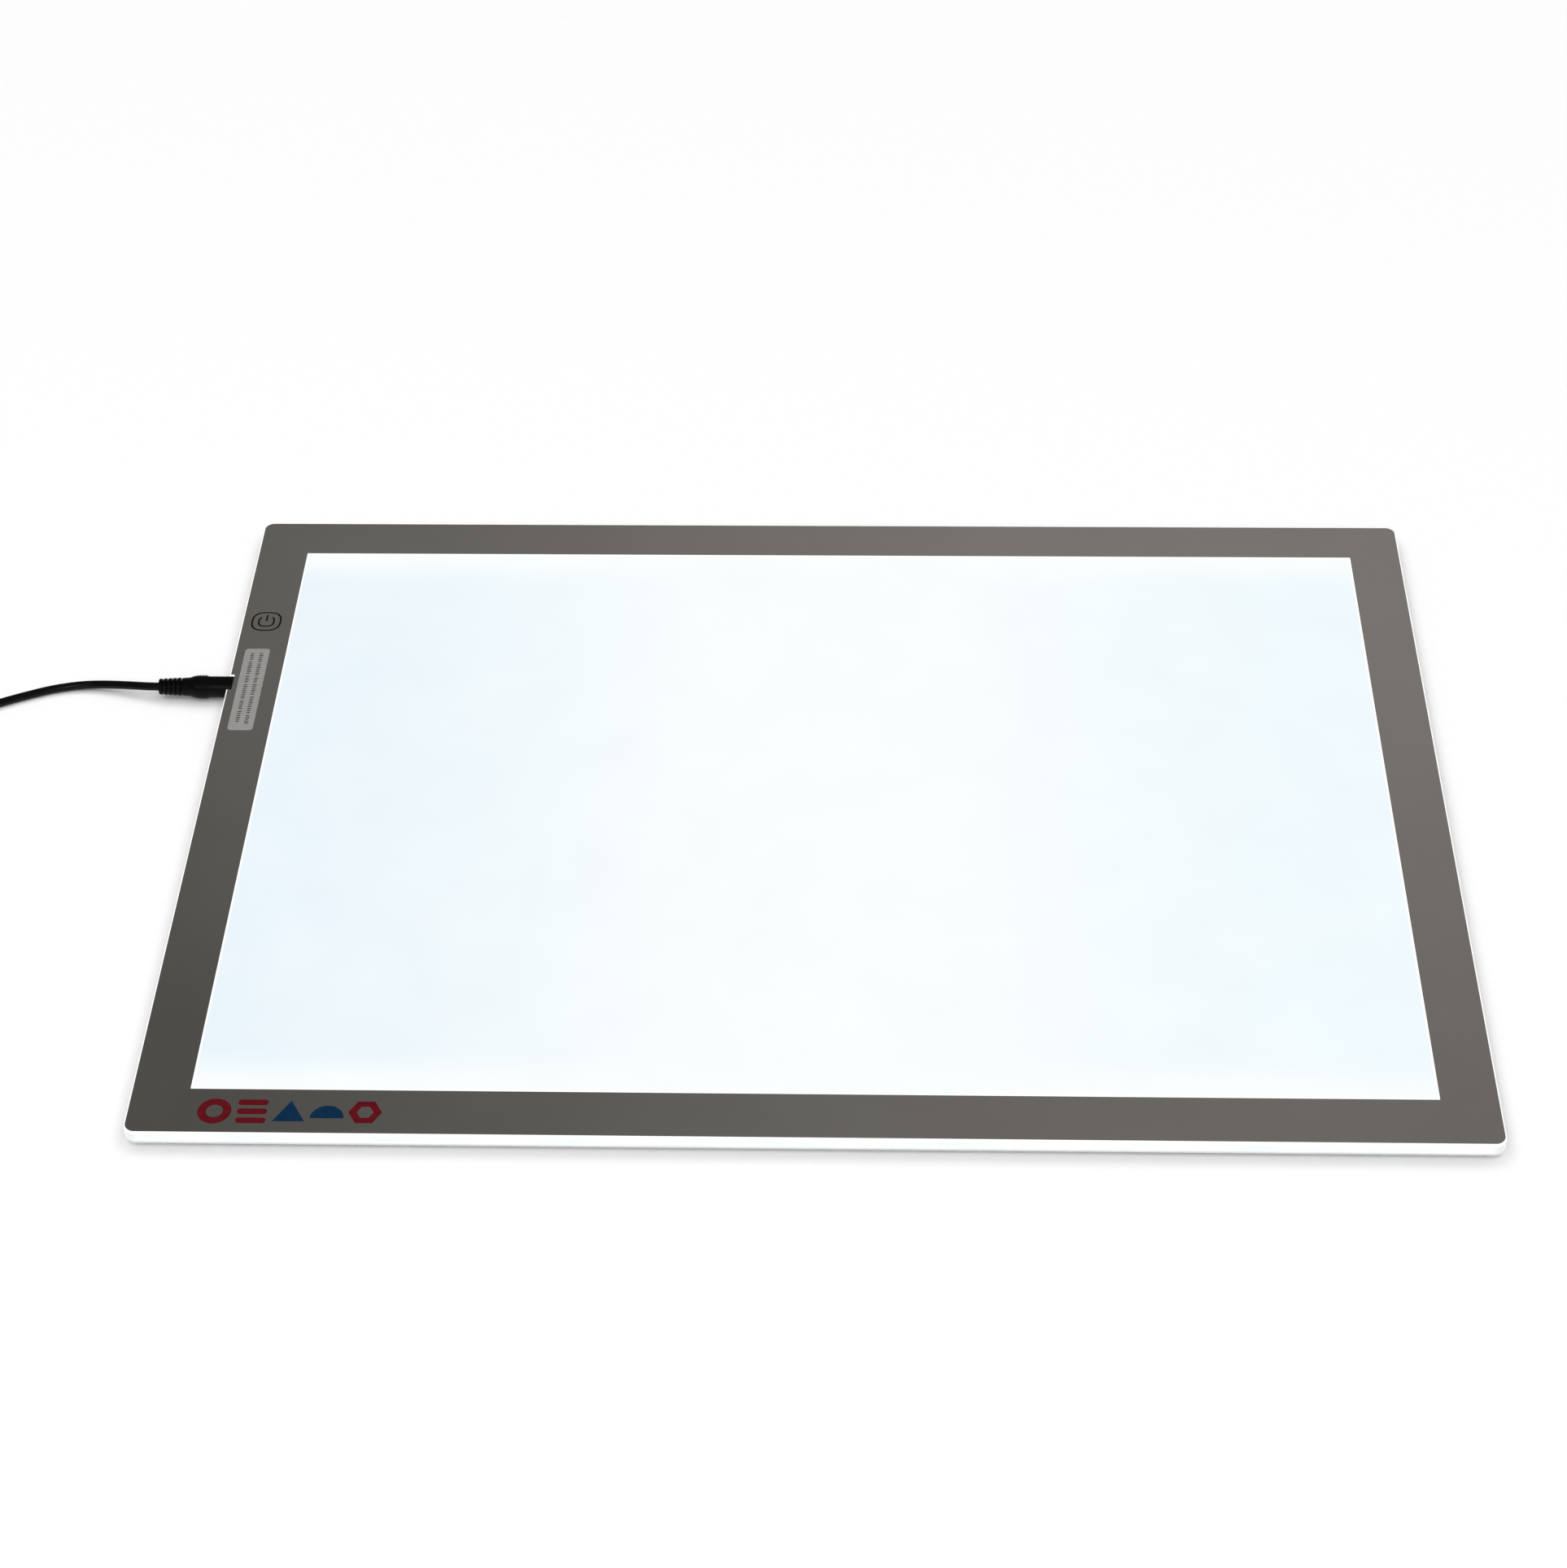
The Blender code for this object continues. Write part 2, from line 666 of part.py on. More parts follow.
def plug(shell, metal, insulator):
    """The plug, hung from an empty on the axis that it slides along."""
    axis = bpy.data.objects.new("plug_pull_axis", None)
    parts.objects.link(axis)
    axis.location = (PLUG_FACE_X, PLUG_Y, PLUG_Z)
    tip = BARREL_TIP_X
    root = BARREL_ROOT_X
    pieces = [
        turned("dc_plug_body", plug_profile(), (PLUG_FACE_X, PLUG_Y, PLUG_Z), (-1.0, 0.0, 0.0), shell),
        bush("dc_plug_barrel", 0.00125, BARREL_RADIUS, (root, tip), metal),
        bush("dc_plug_insulator", 0.0010, 0.0012, (root + 0.0003, tip + 0.0002), insulator),
        bush("dc_plug_inner_contact", 0.00070, 0.00095, (root + 0.0006, tip - 0.0003), metal),
    ]
    bpy.context.view_layer.update()
    for piece in pieces:
        piece.parent = axis
        piece.matrix_parent_inverse = axis.matrix_world.inverted()


def coil(look, tie_look):
    """The wound length as one turned ring, and the tie round it."""
    half_width = COIL_TURNS_ACROSS * CORD_DIAMETER / 2
    height = COIL_LAYERS * CORD_DIAMETER
    inner = COIL_MID_RADIUS - half_width
    outer = COIL_MID_RADIUS + half_width
    corner = CORD_RADIUS * 0.6
    profile = [
        (0.0, inner + corner),
        (0.0, outer - corner),
        (corner, outer),
        (height - corner, outer),
        (height, outer - corner),
        (height, inner + corner),
        (height - corner, inner),
        (corner, inner),
    ]
    x, y = COIL_CENTRE
    turned("cord_coil", profile, (x, y, COIL_BASE_Z + height), (0.0, 0.0, -1.0), look, COIL_STEPS)
    near = math.sqrt(inner**2 - (TIE_WIDTH / 2) ** 2) - TIE_GAP
    low = (x - TIE_WIDTH / 2, y - outer - TIE_GAP, COIL_BASE_Z - TIE_GAP)
    high = (x + TIE_WIDTH / 2, y - near, COIL_BASE_Z + height + TIE_GAP)
    grown_low = (low[0], low[1] - TIE_THICKNESS, low[2] - TIE_THICKNESS)
    grown_high = (high[0], high[1] + TIE_THICKNESS, high[2] + TIE_THICKNESS)
    tie = box("cord_tie", grown_low, grown_high, tie_look)
    room = (low[0] - 0.001, low[1], low[2]), (high[0] + 0.001, high[1], high[2])
    cut(tie, cutting_box("cord_tie_room", *room))


def adaptor_shell(name, levels, open_up, look):
    """Half of the adaptor's case: a rounded tub with its open side up or down."""
    x, y = ADAPTOR_CENTRE
    outline = rounded_outline(ADAPTOR_WIDTH, ADAPTOR_LENGTH, ADAPTOR_CORNER)
    inner_size = (ADAPTOR_WIDTH - 2 * ADAPTOR_WALL, ADAPTOR_LENGTH - 2 * ADAPTOR_WALL)
    inner = rounded_outline(*inner_size, ADAPTOR_CORNER - ADAPTOR_WALL)
    shell = plate(name, [outline], levels, look)
    low, high = levels
    if open_up:
        hollow_levels = (low + ADAPTOR_WALL, high + 0.001)
    else:
        hollow_levels = (low - 0.001, high - ADAPTOR_WALL)
    hollow = as_cutter(plate(name + "_hollow", [inner], hollow_levels))
    for piece in (shell, hollow):
        piece.location.x = x
        piece.location.y = y
    return cut(shell, hollow)


def adaptor_pin(name, centre, size, shell, look):
    """A mains pin that stands out of the case's front face, and the hole it passes through."""
    x, y = centre
    width, depth, length = size
    low = (x - width / 2, y - depth / 2, ADAPTOR_TOP_Z - ADAPTOR_WALL - 0.003)
    high = (x + width / 2, y + depth / 2, ADAPTOR_TOP_Z + length)
    bevel(box(name, low, high, look), 0.0008, 2)
    gap = PIN_HOLE_GAP
    hole = cutting_box(
        name + "_hole",
        (low[0] - gap, low[1] - gap, low[2]),
        (high[0] + gap, high[1] + gap, ADAPTOR_TOP_Z + 0.001),
    )
    cut(shell, hole)


def strain_relief(shell, look):
    """A flanged sleeve held in the case wall, tapering along the cord."""
    x, y = ADAPTOR_CENTRE
    inside = y + ADAPTOR_LENGTH / 2 - ADAPTOR_WALL - 0.0012
    neck = 0.0030
    cord_hole = CORD_RADIUS + 0.00012
    out = 0.0012 + ADAPTOR_WALL
    profile = [
        (0.0, cord_hole),
        (0.0, 0.0042),
        (0.0010, 0.0042),
        (0.0010, neck),
        (out + 0.0002, neck),
        (out + 0.0003, 0.0038),
        (out + 0.0020, 0.0038),
        (out + 0.0200, 0.0024),
        (out + 0.0200, cord_hole),
    ]
    turned("adaptor_strain_relief", profile, (x, inside, RELIEF_Z), (0.0, 1.0, 0.0), look)
    hole = rod(
        "adaptor_relief_hole",
        neck + 0.0002,
        (x, inside - 0.001, RELIEF_Z),
        (x, y + ADAPTOR_LENGTH / 2 + 0.001, RELIEF_Z),
        None,
        ROUND_STEPS,
    )
    cut(shell, as_cutter(hole))


def adaptor(case, brass, plastic_pin, relief, board, core, can):
    back = adaptor_shell("adaptor_case_back", (ADAPTOR_BASE_Z, ADAPTOR_SPLIT_Z), True, case)
    front = adaptor_shell("adaptor_case_front", (ADAPTOR_SPLIT_Z + 0.0002, ADAPTOR_TOP_Z), False, case)
    x, y = ADAPTOR_CENTRE
    pin_y = y + LIVE_PIN_Y
    adaptor_pin("adaptor_pin_live", (x - LIVE_PIN_SPACING / 2, pin_y), LIVE_PIN, front, brass)
    adaptor_pin("adaptor_pin_neutral", (x + LIVE_PIN_SPACING / 2, pin_y), LIVE_PIN, front, brass)
    adaptor_pin("adaptor_pin_earth", (x, pin_y - EARTH_PIN_OFFSET), EARTH_PIN, front, plastic_pin)
    strain_relief(back, relief)
    floor = ADAPTOR_BASE_Z + ADAPTOR_WALL
    board_low = (x - 0.019, y - 0.026, floor + 0.0010)
    board_high = (x + 0.019, y + 0.022, floor + 0.0026)
    box("adaptor_board", board_low, board_high, board)
    base = floor + 0.0028
    top = base + 0.0150
    bevel(box("adaptor_transformer", (x - 0.008, y - 0.012, base), (x + 0.010, y + 0.004, top), core), 0.001)
    rod("adaptor_capacitor", 0.005, (x - 0.012, y - 0.019, base), (x - 0.012, y - 0.019, top), can, 20)


def build():
    clear_scene()
    white = material("white_plastic", (0.86, 0.87, 0.86), 0.35)
    mirror_white = material("reflector_white", (0.93, 0.93, 0.93), 0.25)
    acrylic = material("light_guide_acrylic", (0.92, 0.96, 0.98), 0.05, alpha=0.6, glow=0.4)
    milk = material("diffuser_film", (0.93, 0.96, 0.98), 0.6, glow=0.6)
    cover = material("cover_acrylic", (0.90, 0.95, 0.99), 0.3, glow=0.8)
    grey = material("border_print", (0.110, 0.102, 0.088), 0.45)
    edge = material("edge_acrylic", (0.95, 0.97, 0.98), 0.3, glow=0.8)
    tape = material("adhesive_tape", (0.80, 0.79, 0.74), 0.6)
    label = material("label_paper", (0.36, 0.34, 0.32), 0.6)
    lamp = material("lamp_strip", (0.88, 0.87, 0.78), 0.4)
    board = material("circuit_board", (0.03, 0.18, 0.07), 0.4)
    chip = material("chip_black", (0.02, 0.02, 0.02), 0.5)
    metal = material("contact_metal", (0.72, 0.70, 0.66), 0.25, 1.0)
    foam = material("conductive_foam", (0.10, 0.10, 0.11), 0.9)
    black = material("black_rubber", (0.010, 0.010, 0.010), 0.35)
    socket_black = material("socket_plastic", (0.015, 0.015, 0.015), 0.5)
    insulator = material("plug_insulator", (0.60, 0.58, 0.52), 0.5)
    red_wire = material("red_wire", (0.45, 0.02, 0.02), 0.4)
    black_wire = material("black_wire", (0.015, 0.015, 0.015), 0.4)
    feet = material("foot_rubber", (0.60, 0.60, 0.58), 0.8)
    tie = material("tie_plastic", (0.03, 0.03, 0.03), 0.6)
    case = material("adaptor_plastic", (0.014, 0.014, 0.015), 0.4)
    brass = material("pin_brass", (0.80, 0.62, 0.33), 0.3, 1.0)
    core = material("transformer_core", (0.65, 0.50, 0.10), 0.5)
    can = material("capacitor_sleeve", (0.05, 0.08, 0.20), 0.4)

    back_plate(white)
    optical_sheet("reflector_sheet", REFLECTOR_Z, 0.0003, mirror_white)
    optical_sheet("light_guide_plate", LIGHT_GUIDE_Z, 0.0, acrylic)
    optical_sheet("diffuser_sheet", DIFFUSER_Z, 0.0003, milk)
    cover_sheet(cover)
    border_film(grey)
    edge_strips(edge)
    adhesive_tapes(tape)
    lamp_strip("lamp_strip_front", -1, lamp)
    lamp_strip("lamp_strip_rear", 1, lamp)
    control_board(board)
    board_parts(chip, metal, foam, tape)
    socket(socket_black, metal)
    feed_wires(red_wire, black_wire)
    rubber_feet(feet)
    notice_label(label)
    plug(black, metal, insulator)
    tube("cord_to_coil", smooth_route(LEAD_ROUTE, CORD_POINT_SPACING), CORD_RADIUS, black)
    coil(black, tie)
    tube("cord_to_adaptor", smooth_route(TAIL_ROUTE, CORD_POINT_SPACING), CORD_RADIUS, black)
    adaptor(case, brass, case, black, board, core, can)


build()
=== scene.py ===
"""Looks of the A3 LED light box: lit window, printed border, glowing edges, power lead and adaptor."""

import math

import bmesh
import bpy
from mathutils import Matrix, Vector


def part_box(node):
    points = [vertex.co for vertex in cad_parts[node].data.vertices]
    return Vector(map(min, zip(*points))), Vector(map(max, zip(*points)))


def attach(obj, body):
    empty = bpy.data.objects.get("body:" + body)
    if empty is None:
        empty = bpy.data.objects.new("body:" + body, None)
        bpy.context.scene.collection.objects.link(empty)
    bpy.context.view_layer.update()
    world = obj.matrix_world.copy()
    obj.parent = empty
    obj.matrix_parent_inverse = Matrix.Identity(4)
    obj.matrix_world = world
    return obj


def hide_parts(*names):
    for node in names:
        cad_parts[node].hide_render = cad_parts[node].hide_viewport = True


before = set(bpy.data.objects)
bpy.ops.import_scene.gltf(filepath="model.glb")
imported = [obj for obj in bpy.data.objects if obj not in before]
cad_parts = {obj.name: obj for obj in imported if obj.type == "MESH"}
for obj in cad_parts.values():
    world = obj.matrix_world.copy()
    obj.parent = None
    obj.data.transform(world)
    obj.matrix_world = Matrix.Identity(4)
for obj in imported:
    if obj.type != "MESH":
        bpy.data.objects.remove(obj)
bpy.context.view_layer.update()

# Camera: place, direction, roll about its own line of sight, and lens.
CAMERA_PLACE = (0.02256, -0.91784, 0.82464)
CAMERA_AZIMUTH = math.radians(-2.2394)
CAMERA_ELEVATION = math.radians(-41.3820)
CAMERA_ROLL = math.radians(-1.1229)
CAMERA_LENS_MM = 76.39
SENSOR_MM = 36.0

# Light: the strength of the sky, of the bright ring high up in it and of the sky in reflections.
# The ring fades in and out over two ranges of a direction's Z.
SKY_STRENGTH = 0.205
RING_STRENGTH = 2.0
RING_FOOT = (0.66, 0.78)
RING_TOP = (0.92, 0.98)
SKY_IN_REFLECTIONS = 0.12
SOFTBOX_PLACE = (-0.4, -3.4, 2.7)
SOFTBOX_TARGET = (-0.1, 0.0, 0.0)
SOFTBOX_SIZE = (1.6, 1.2)
SOFTBOX_POWER = 36.0
FLOOR_HALF_WIDTH = 6.0

# The cord's facts, and the route that its CAD solids follow.
CORD_DIAMETER = 0.0032
LEAD_ROUTE = [
    (-0.2535, 0.0666, 0.0049),
    (-0.2568, 0.0666, 0.0049),
    (-0.2622, 0.0670, 0.0047),
    (-0.2688, 0.0682, 0.0041),
    (-0.2755, 0.0695, 0.0033),
    (-0.2821, 0.0704, 0.0026),
    (-0.2886, 0.0705, 0.0021),
    (-0.2948, 0.0696, 0.0018),
    (-0.3009, 0.0679, 0.0017),
    (-0.3068, 0.0655, 0.0017),
    (-0.3126, 0.0629, 0.0017),
    (-0.3184, 0.0601, 0.0017),
    (-0.3255, 0.0567, 0.0017),
    (-0.3330, 0.0531, 0.0018),
    (-0.3425, 0.0486, 0.0020),
    (-0.3518, 0.0441, 0.0022),
]
TAIL_ROUTE = [
    (-0.3760, 0.0058, 0.0108),
    (-0.3757, -0.0020, 0.0094),
    (-0.3745, -0.0100, 0.0086),
    (-0.3728, -0.0190, 0.0087),
    (-0.3715, -0.0270, 0.0096),
    (-0.3710, -0.0340, 0.0100),
    (-0.3710, -0.0480, 0.0100),
]
CORD_END_IN_CASE = (-0.3710, -0.0570, 0.0100)
COIL_CENTRE = (-0.3539, 0.0187)
COIL_MID_RADIUS = 0.0189
COIL_BASE_Z = 0.0007
COIL_TURNS_ACROSS = 3
COIL_LAYERS = 4
COIL_JOIN_ANGLE = math.radians(115.5)
COIL_LEAVE_ANGLE = math.radians(180.0)
COIL_STEPS_PER_TURN = 48
ROUTE_STEPS = 4

# CAD nodes that move with the lead and have no piece of their own here.
CARRIED_ON_LEAD = (
    "dc_plug_barrel",
    "dc_plug_insulator",
    "dc_plug_inner_contact",
    "adaptor_board",
    "adaptor_transformer",
    "adaptor_capacitor",
)

# Sizes that the visual pieces share.
PANEL_LOW, PANEL_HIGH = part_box("back_plate")
PANEL_LENGTH = PANEL_HIGH.x - PANEL_LOW.x
PANEL_DEPTH = PANEL_HIGH.y - PANEL_LOW.y
CORNER_RADIUS = 0.004
WINDOW_LENGTH = 0.420
WINDOW_DEPTH = 0.297
SOCKET_LOW, SOCKET_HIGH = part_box("dc_socket_housing")
PLUG_LOW, PLUG_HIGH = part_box("dc_plug_body")
PLUG_Y = (PLUG_LOW.y + PLUG_HIGH.y) / 2
PLUG_Z = (PLUG_LOW.z + PLUG_HIGH.z) / 2
PLUG_LENGTH = PLUG_HIGH.x - PLUG_LOW.x
EDGE_SOFTENING = 0.00015
CORD_HOLE = CORD_DIAMETER / 2 + 0.0001
SOCKET_CLEARANCE = 0.0003
INK_THICKNESS = 0.00002
CORNER_STEPS = 12
ROUND_STEPS = 96


# ---------------------------------------------------------------- patterns


class Pattern:
    """The nodes of one material or of the sky, and the coordinates that they are read at."""

    def __init__(self, tree, coordinates):
        self.nodes = tree.nodes
        self.links = tree.links
        self.place = self.node("TexCoord").outputs[coordinates]

    def feed(self, target, value):
        """Links an output to an input, or sets the input to a plain value."""
        if isinstance(value, bpy.types.NodeSocket):
            self.links.new(value, target)
        elif target.type == "RGBA":
            target.default_value = (*value, 1.0)
        else:
            target.default_value = value

    def node(self, kind, inputs=None, **settings):
        made = self.nodes.new("ShaderNode" + kind)
        for setting, value in settings.items():
            setattr(made, setting, value)
        for socket, value in (inputs or {}).items():
            self.feed(made.inputs[socket], value)
        return made

    def math(self, operation, first, second=0.0):
        return self.node("Math", {0: first, 1: second}, operation=operation).outputs[0]

    def along(self, axis):
        return self.node("SeparateXYZ", {0: self.place}).outputs[axis]

    def off_centre(self, axis):
        """The distance from the origin along one axis, either way."""
        return self.math("ABSOLUTE", self.along(axis))

    def spread(self, value, low, high, start=0.0, end=1.0, easing="SMOOTHSTEP"):
        """The value's range from low to high, moved to start to end."""
        inputs = {"Value": value, "From Min": low, "From Max": high, "To Min": start, "To Max": end}
        return self.node("MapRange", inputs, interpolation_type=easing).outputs["Result"]

    def between(self, share, first, second):
        """A number between two others."""
        return self.node("Mix", {"Factor": share, "A": first, "B": second}).outputs["Result"]


class Surface(Pattern):
    """A Principled material whose patterns are read at the piece's own coordinates, in metres."""

    def __init__(self, name, **sockets):
        self.material = bpy.data.materials.new(name)
        self.material.use_nodes = True
        super().__init__(self.material.node_tree, "Object")
        self.sockets = self.nodes["Principled BSDF"].inputs
        for socket, value in sockets.items():
            self.sockets[socket.replace("_", " ")].default_value = value

    def stretched(self, factors):
        """The piece's coordinates, multiplied along each axis."""
        return self.node("Mapping", {"Vector": self.place, "Scale": factors}).outputs["Vector"]

    def noise(self, grain, detail=2.0, roughness=0.5, place=None):
        """Soft noise with a grain of that many metres."""
        inputs = {"Vector": place or self.place, "Scale": 1.0 / grain, "Detail": detail}
        return self.node("TexNoise", {**inputs, "Roughness": roughness}).outputs["Fac"]

    def cells(self, grain):
        """The distance to the nearest of many scattered points."""
        return self.node("TexVoronoi", {"Vector": self.place, "Scale": 1.0 / grain}).outputs["Distance"]

    def waves(self, pitch, direction):
        """Even ridges across one axis, one for each pitch."""
        inputs = {"Vector": self.place, "Scale": math.pi / (10.0 * pitch), "Distortion": 0.0}
        return self.node("TexWave", inputs, bands_direction=direction).outputs["Fac"]

    def tones(self, value, first, second, low=0.3, high=0.7):
        """A colour that goes from the first to the second as the value goes from low to high."""
        ramp = self.node("ValToRGB", {"Fac": value})
        for band, at, colour in zip(ramp.color_ramp.elements, (low, high), (first, second)):
            band.position = at
            band.color = (*colour, 1.0)
        return ramp.outputs["Color"]

    def blend(self, share, first, second):
        """A colour between two others."""
        return self.node("Mix", {0: share, 6: first, 7: second}, data_type="RGBA").outputs[2]

    def colour(self, value):
        self.feed(self.sockets["Base Color"], value)

    def gloss(self, value, low, high):
        """Roughness between two values, read from the middle of a noise's range."""
        self.feed(self.sockets["Roughness"], self.spread(value, 0.3, 0.7, low, high))

    def relief(self, height, depth):
        bump = self.node("Bump", {"Strength": 1.0, "Distance": depth, "Height": height})
        self.feed(self.sockets["Normal"], bump.outputs["Normal"])

    def glow(self, colour, strength):
        self.feed(self.sockets["Emission Color"], colour)
        self.sockets["Emission Strength"].default_value = strength


# ---------------------------------------------------------------- camera, light and floor


def link(obj):
    bpy.context.scene.collection.objects.link(obj)
    return obj


def camera():
    level = math.cos(CAMERA_ELEVATION)
    east = math.sin(CAMERA_AZIMUTH) * level
    north = math.cos(CAMERA_AZIMUTH) * level
    ahead = Vector((east, north, math.sin(CAMERA_ELEVATION)))
    flat_right = ahead.cross(Vector((0.0, 0.0, 1.0))).normalized()
    right = math.cos(CAMERA_ROLL) * flat_right + math.sin(CAMERA_ROLL) * flat_right.cross(ahead)
    up = right.cross(ahead)
    data = bpy.data.cameras.new("camera")
    data.sensor_width = SENSOR_MM
    data.lens = CAMERA_LENS_MM
    data.clip_start = 0.01
    data.clip_end = 50.0
    obj = link(bpy.data.objects.new("camera", data))
    turn = Matrix((right, up, -ahead)).transposed()
    obj.matrix_world = Matrix.Translation(CAMERA_PLACE) @ turn.to_4x4()
    bpy.context.scene.camera = obj


def softbox():
    """A soft light in front of the object and above it."""
    data = bpy.data.lights.new("softbox_front", "AREA")
    data.shape = "RECTANGLE"
    data.size, data.size_y = SOFTBOX_SIZE
    data.energy = SOFTBOX_POWER
    toward = Vector(SOFTBOX_TARGET) - Vector(SOFTBOX_PLACE)
    turn = toward.to_track_quat("-Z", "Y").to_matrix().to_4x4()
    obj = link(bpy.data.objects.new("softbox_front", data))
    obj.matrix_world = Matrix.Translation(SOFTBOX_PLACE) @ turn


def studio():
    """A dim sky with a bright ring high up in it. The camera itself sees plain white behind the floor."""
    world = bpy.data.worlds.new("studio")
    world.use_nodes = True
    sky = Pattern(world.node_tree, "Generated")
    height = sky.along("Z")
    bright = SKY_STRENGTH + RING_STRENGTH
    below = sky.spread(height, *RING_FOOT, SKY_STRENGTH, bright, "LINEAR")
    above = sky.spread(height, *RING_TOP, bright, SKY_STRENGTH, "LINEAR")
    rays = sky.node("LightPath").outputs
    mirrored = sky.between(rays["Is Glossy Ray"], sky.math("MINIMUM", below, above), SKY_IN_REFLECTIONS)
    background = sky.nodes["Background"].inputs
    sky.feed(background["Color"], (1.0, 1.0, 1.0))
    sky.feed(background["Strength"], sky.between(rays["Is Camera Ray"], mirrored, 1.0))
    bpy.context.scene.world = world
    bpy.context.scene.view_settings.view_transform = "Standard"


def floor_look():
    """A matt white studio sweep."""
    surface = Surface("floor_paper", Specular_IOR_Level=0.0)
    paper = surface.noise(0.004, 3.0)
    surface.colour(surface.tones(paper, (0.925, 0.925, 0.925), (0.935, 0.935, 0.935)))
    surface.gloss(surface.noise(0.05), 0.9, 1.0)
    return surface.material


def build_floor():
    shape = bmesh.new()
    bmesh.ops.create_grid(shape, x_segments=8, y_segments=8, size=FLOOR_HALF_WIDTH)
    mesh = bpy.data.meshes.new("floor")
    shape.to_mesh(mesh)
    shape.free()
    mesh.materials.append(floor_look())
    link(bpy.data.objects.new("floor", mesh))


# ---------------------------------------------------------------- materials


def shade(colour, factor):
    return tuple(channel * factor for channel in colour)


def moulded(name, colour, gloss=(0.35, 0.5), grain=0.0004, depth=0.00001, variation=0.12, **sockets):
    """Plastic or rubber: a fine moulded grain, faint changes of tone and duller patches."""
    surface = Surface(name, **sockets)
    patches = surface.noise(0.012, 3.0)
    surface.colour(surface.tones(patches, shade(colour, 1.0 - variation), shade(colour, 1.0 + variation)))
    surface.gloss(surface.noise(0.004, 4.0, 0.6), *gloss)
    surface.relief(surface.noise(grain, 3.0, 0.6), depth)
    return surface.material


def cover_look():
    """Matt acrylic lit from behind: cooler towards its ends, and brightest in a line round the window."""
    middle_tone = (0.940, 0.983, 0.993)
    left_tone = (0.800, 0.905, 0.968)
    right_tone = (0.855, 0.945, 0.990)
    lamp_side_tone = (0.960, 0.990, 0.995)
    line_tone = (1.10, 1.10, 1.10)
    half_length = WINDOW_LENGTH / 2
    half_depth = WINDOW_DEPTH / 2
    surface = Surface("cover_acrylic", Specular_IOR_Level=0.15)
    x = surface.along("X")
    off_y = surface.off_centre("Y")
    drift = surface.spread(surface.noise(0.055), 0.2, 0.8, 0.75, 1.0)
    left_end = surface.spread(x, -half_length + 0.005, -0.015, 1.0, 0.0)
    right_end = surface.spread(x, 0.015, half_length - 0.005)
    lamp_side = surface.spread(off_y, half_depth - 0.0205, half_depth - 0.0010)
    end_line = surface.spread(surface.off_centre("X"), half_length - 0.0010, half_length - 0.0001)
    side_line = surface.spread(off_y, half_depth - 0.0011, half_depth - 0.0001)
    tone = surface.blend(surface.math("MULTIPLY", left_end, drift), middle_tone, left_tone)
    tone = surface.blend(surface.math("MULTIPLY", right_end, drift), tone, right_tone)
    tone = surface.blend(lamp_side, tone, lamp_side_tone)
    tone = surface.blend(surface.math("MAXIMUM", end_line, side_line), tone, line_tone)
    surface.glow(tone, 0.88)
    surface.colour(surface.tones(surface.noise(0.03), (0.10, 0.10, 0.10), (0.12, 0.12, 0.12)))
    surface.gloss(surface.noise(0.006, 4.0), 0.38, 0.5)
    surface.relief(surface.noise(0.0003), 0.000004)
    return surface.material


def edge_look():
    """Clear acrylic edge full of light, cooler in streaks along it, and dimmed by painted shade at the
    panel's corners.
    """
    full_tone = (1.0, 1.0, 1.0)
    streak_tone = (0.78, 0.93, 0.95)
    corner_painted_shade = (0.76, 0.80, 0.84)
    half_length = PANEL_LENGTH / 2
    half_depth = PANEL_DEPTH / 2
    surface = Surface("edge_acrylic", Specular_IOR_Level=0.3)
    streaks = surface.noise(0.004, 3.0, 0.55, surface.stretched((0.12, 0.12, 4.0)))
    drift = surface.noise(0.035)
    fade = surface.math("MULTIPLY", surface.spread(streaks, 0.35, 0.7), surface.spread(drift, 0.35, 0.7))
    # Painted shade: the glow dims to a greyer tone where the panel's ends meet its sides.
    end = surface.spread(surface.off_centre("X"), half_length - 0.0055, half_length - 0.0010)
    side = surface.spread(surface.off_centre("Y"), half_depth - 0.0085, half_depth - 0.0015)
    tone = surface.blend(fade, full_tone, streak_tone)
    surface.glow(surface.blend(surface.math("MULTIPLY", end, side), tone, corner_painted_shade), 0.90)
    surface.colour(surface.tones(drift, (0.07, 0.08, 0.08), (0.10, 0.11, 0.11)))
    surface.gloss(surface.noise(0.002, 4.0), 0.18, 0.3)
    surface.relief(surface.noise(0.0006, 3.0), 0.000008)
    return surface.material


def border_look():
    """Warm grey print on a matt film, with a glow of painted light on it that grows to the right and the
    back.
    """
    dark_print = (0.0440, 0.0415, 0.0360)
    pale_print = (0.0500, 0.0475, 0.0420)
    dust_tone = (0.16, 0.16, 0.155)
    least_painted_light = (0.014, 0.014, 0.013)
    most_painted_light = (0.134, 0.1245, 0.116)
    surface = Surface("border_print", Specular_IOR_Level=0.12)
    mottle = surface.noise(0.045, 3.0, 0.55)
    specks = surface.spread(surface.cells(0.0035), 0.0, 0.055, 1.0, 0.0)
    dust = surface.math("MULTIPLY", specks, surface.spread(surface.noise(0.011), 0.56, 0.66))
    share = surface.math("MULTIPLY", dust, 0.35)
    surface.colour(surface.blend(share, surface.tones(mottle, dark_print, pale_print), dust_tone))
    surface.gloss(surface.noise(0.020, 5.0, 0.6), 0.38, 0.50)
    surface.relief(surface.noise(0.00025), 0.000004)
    # Painted light: a glow on the film that grows to the right and the back.
    rightward = surface.spread(surface.along("X"), -0.30, 0.13, 0.0, 0.64)
    backward = surface.spread(surface.along("Y"), -0.19, 0.12, 0.0, 0.36)
    painted_light_share = surface.math("ADD", rightward, backward)
    surface.glow(surface.tones(painted_light_share, least_painted_light, most_painted_light, 0.0, 1.0), 1.0)
    return surface.material


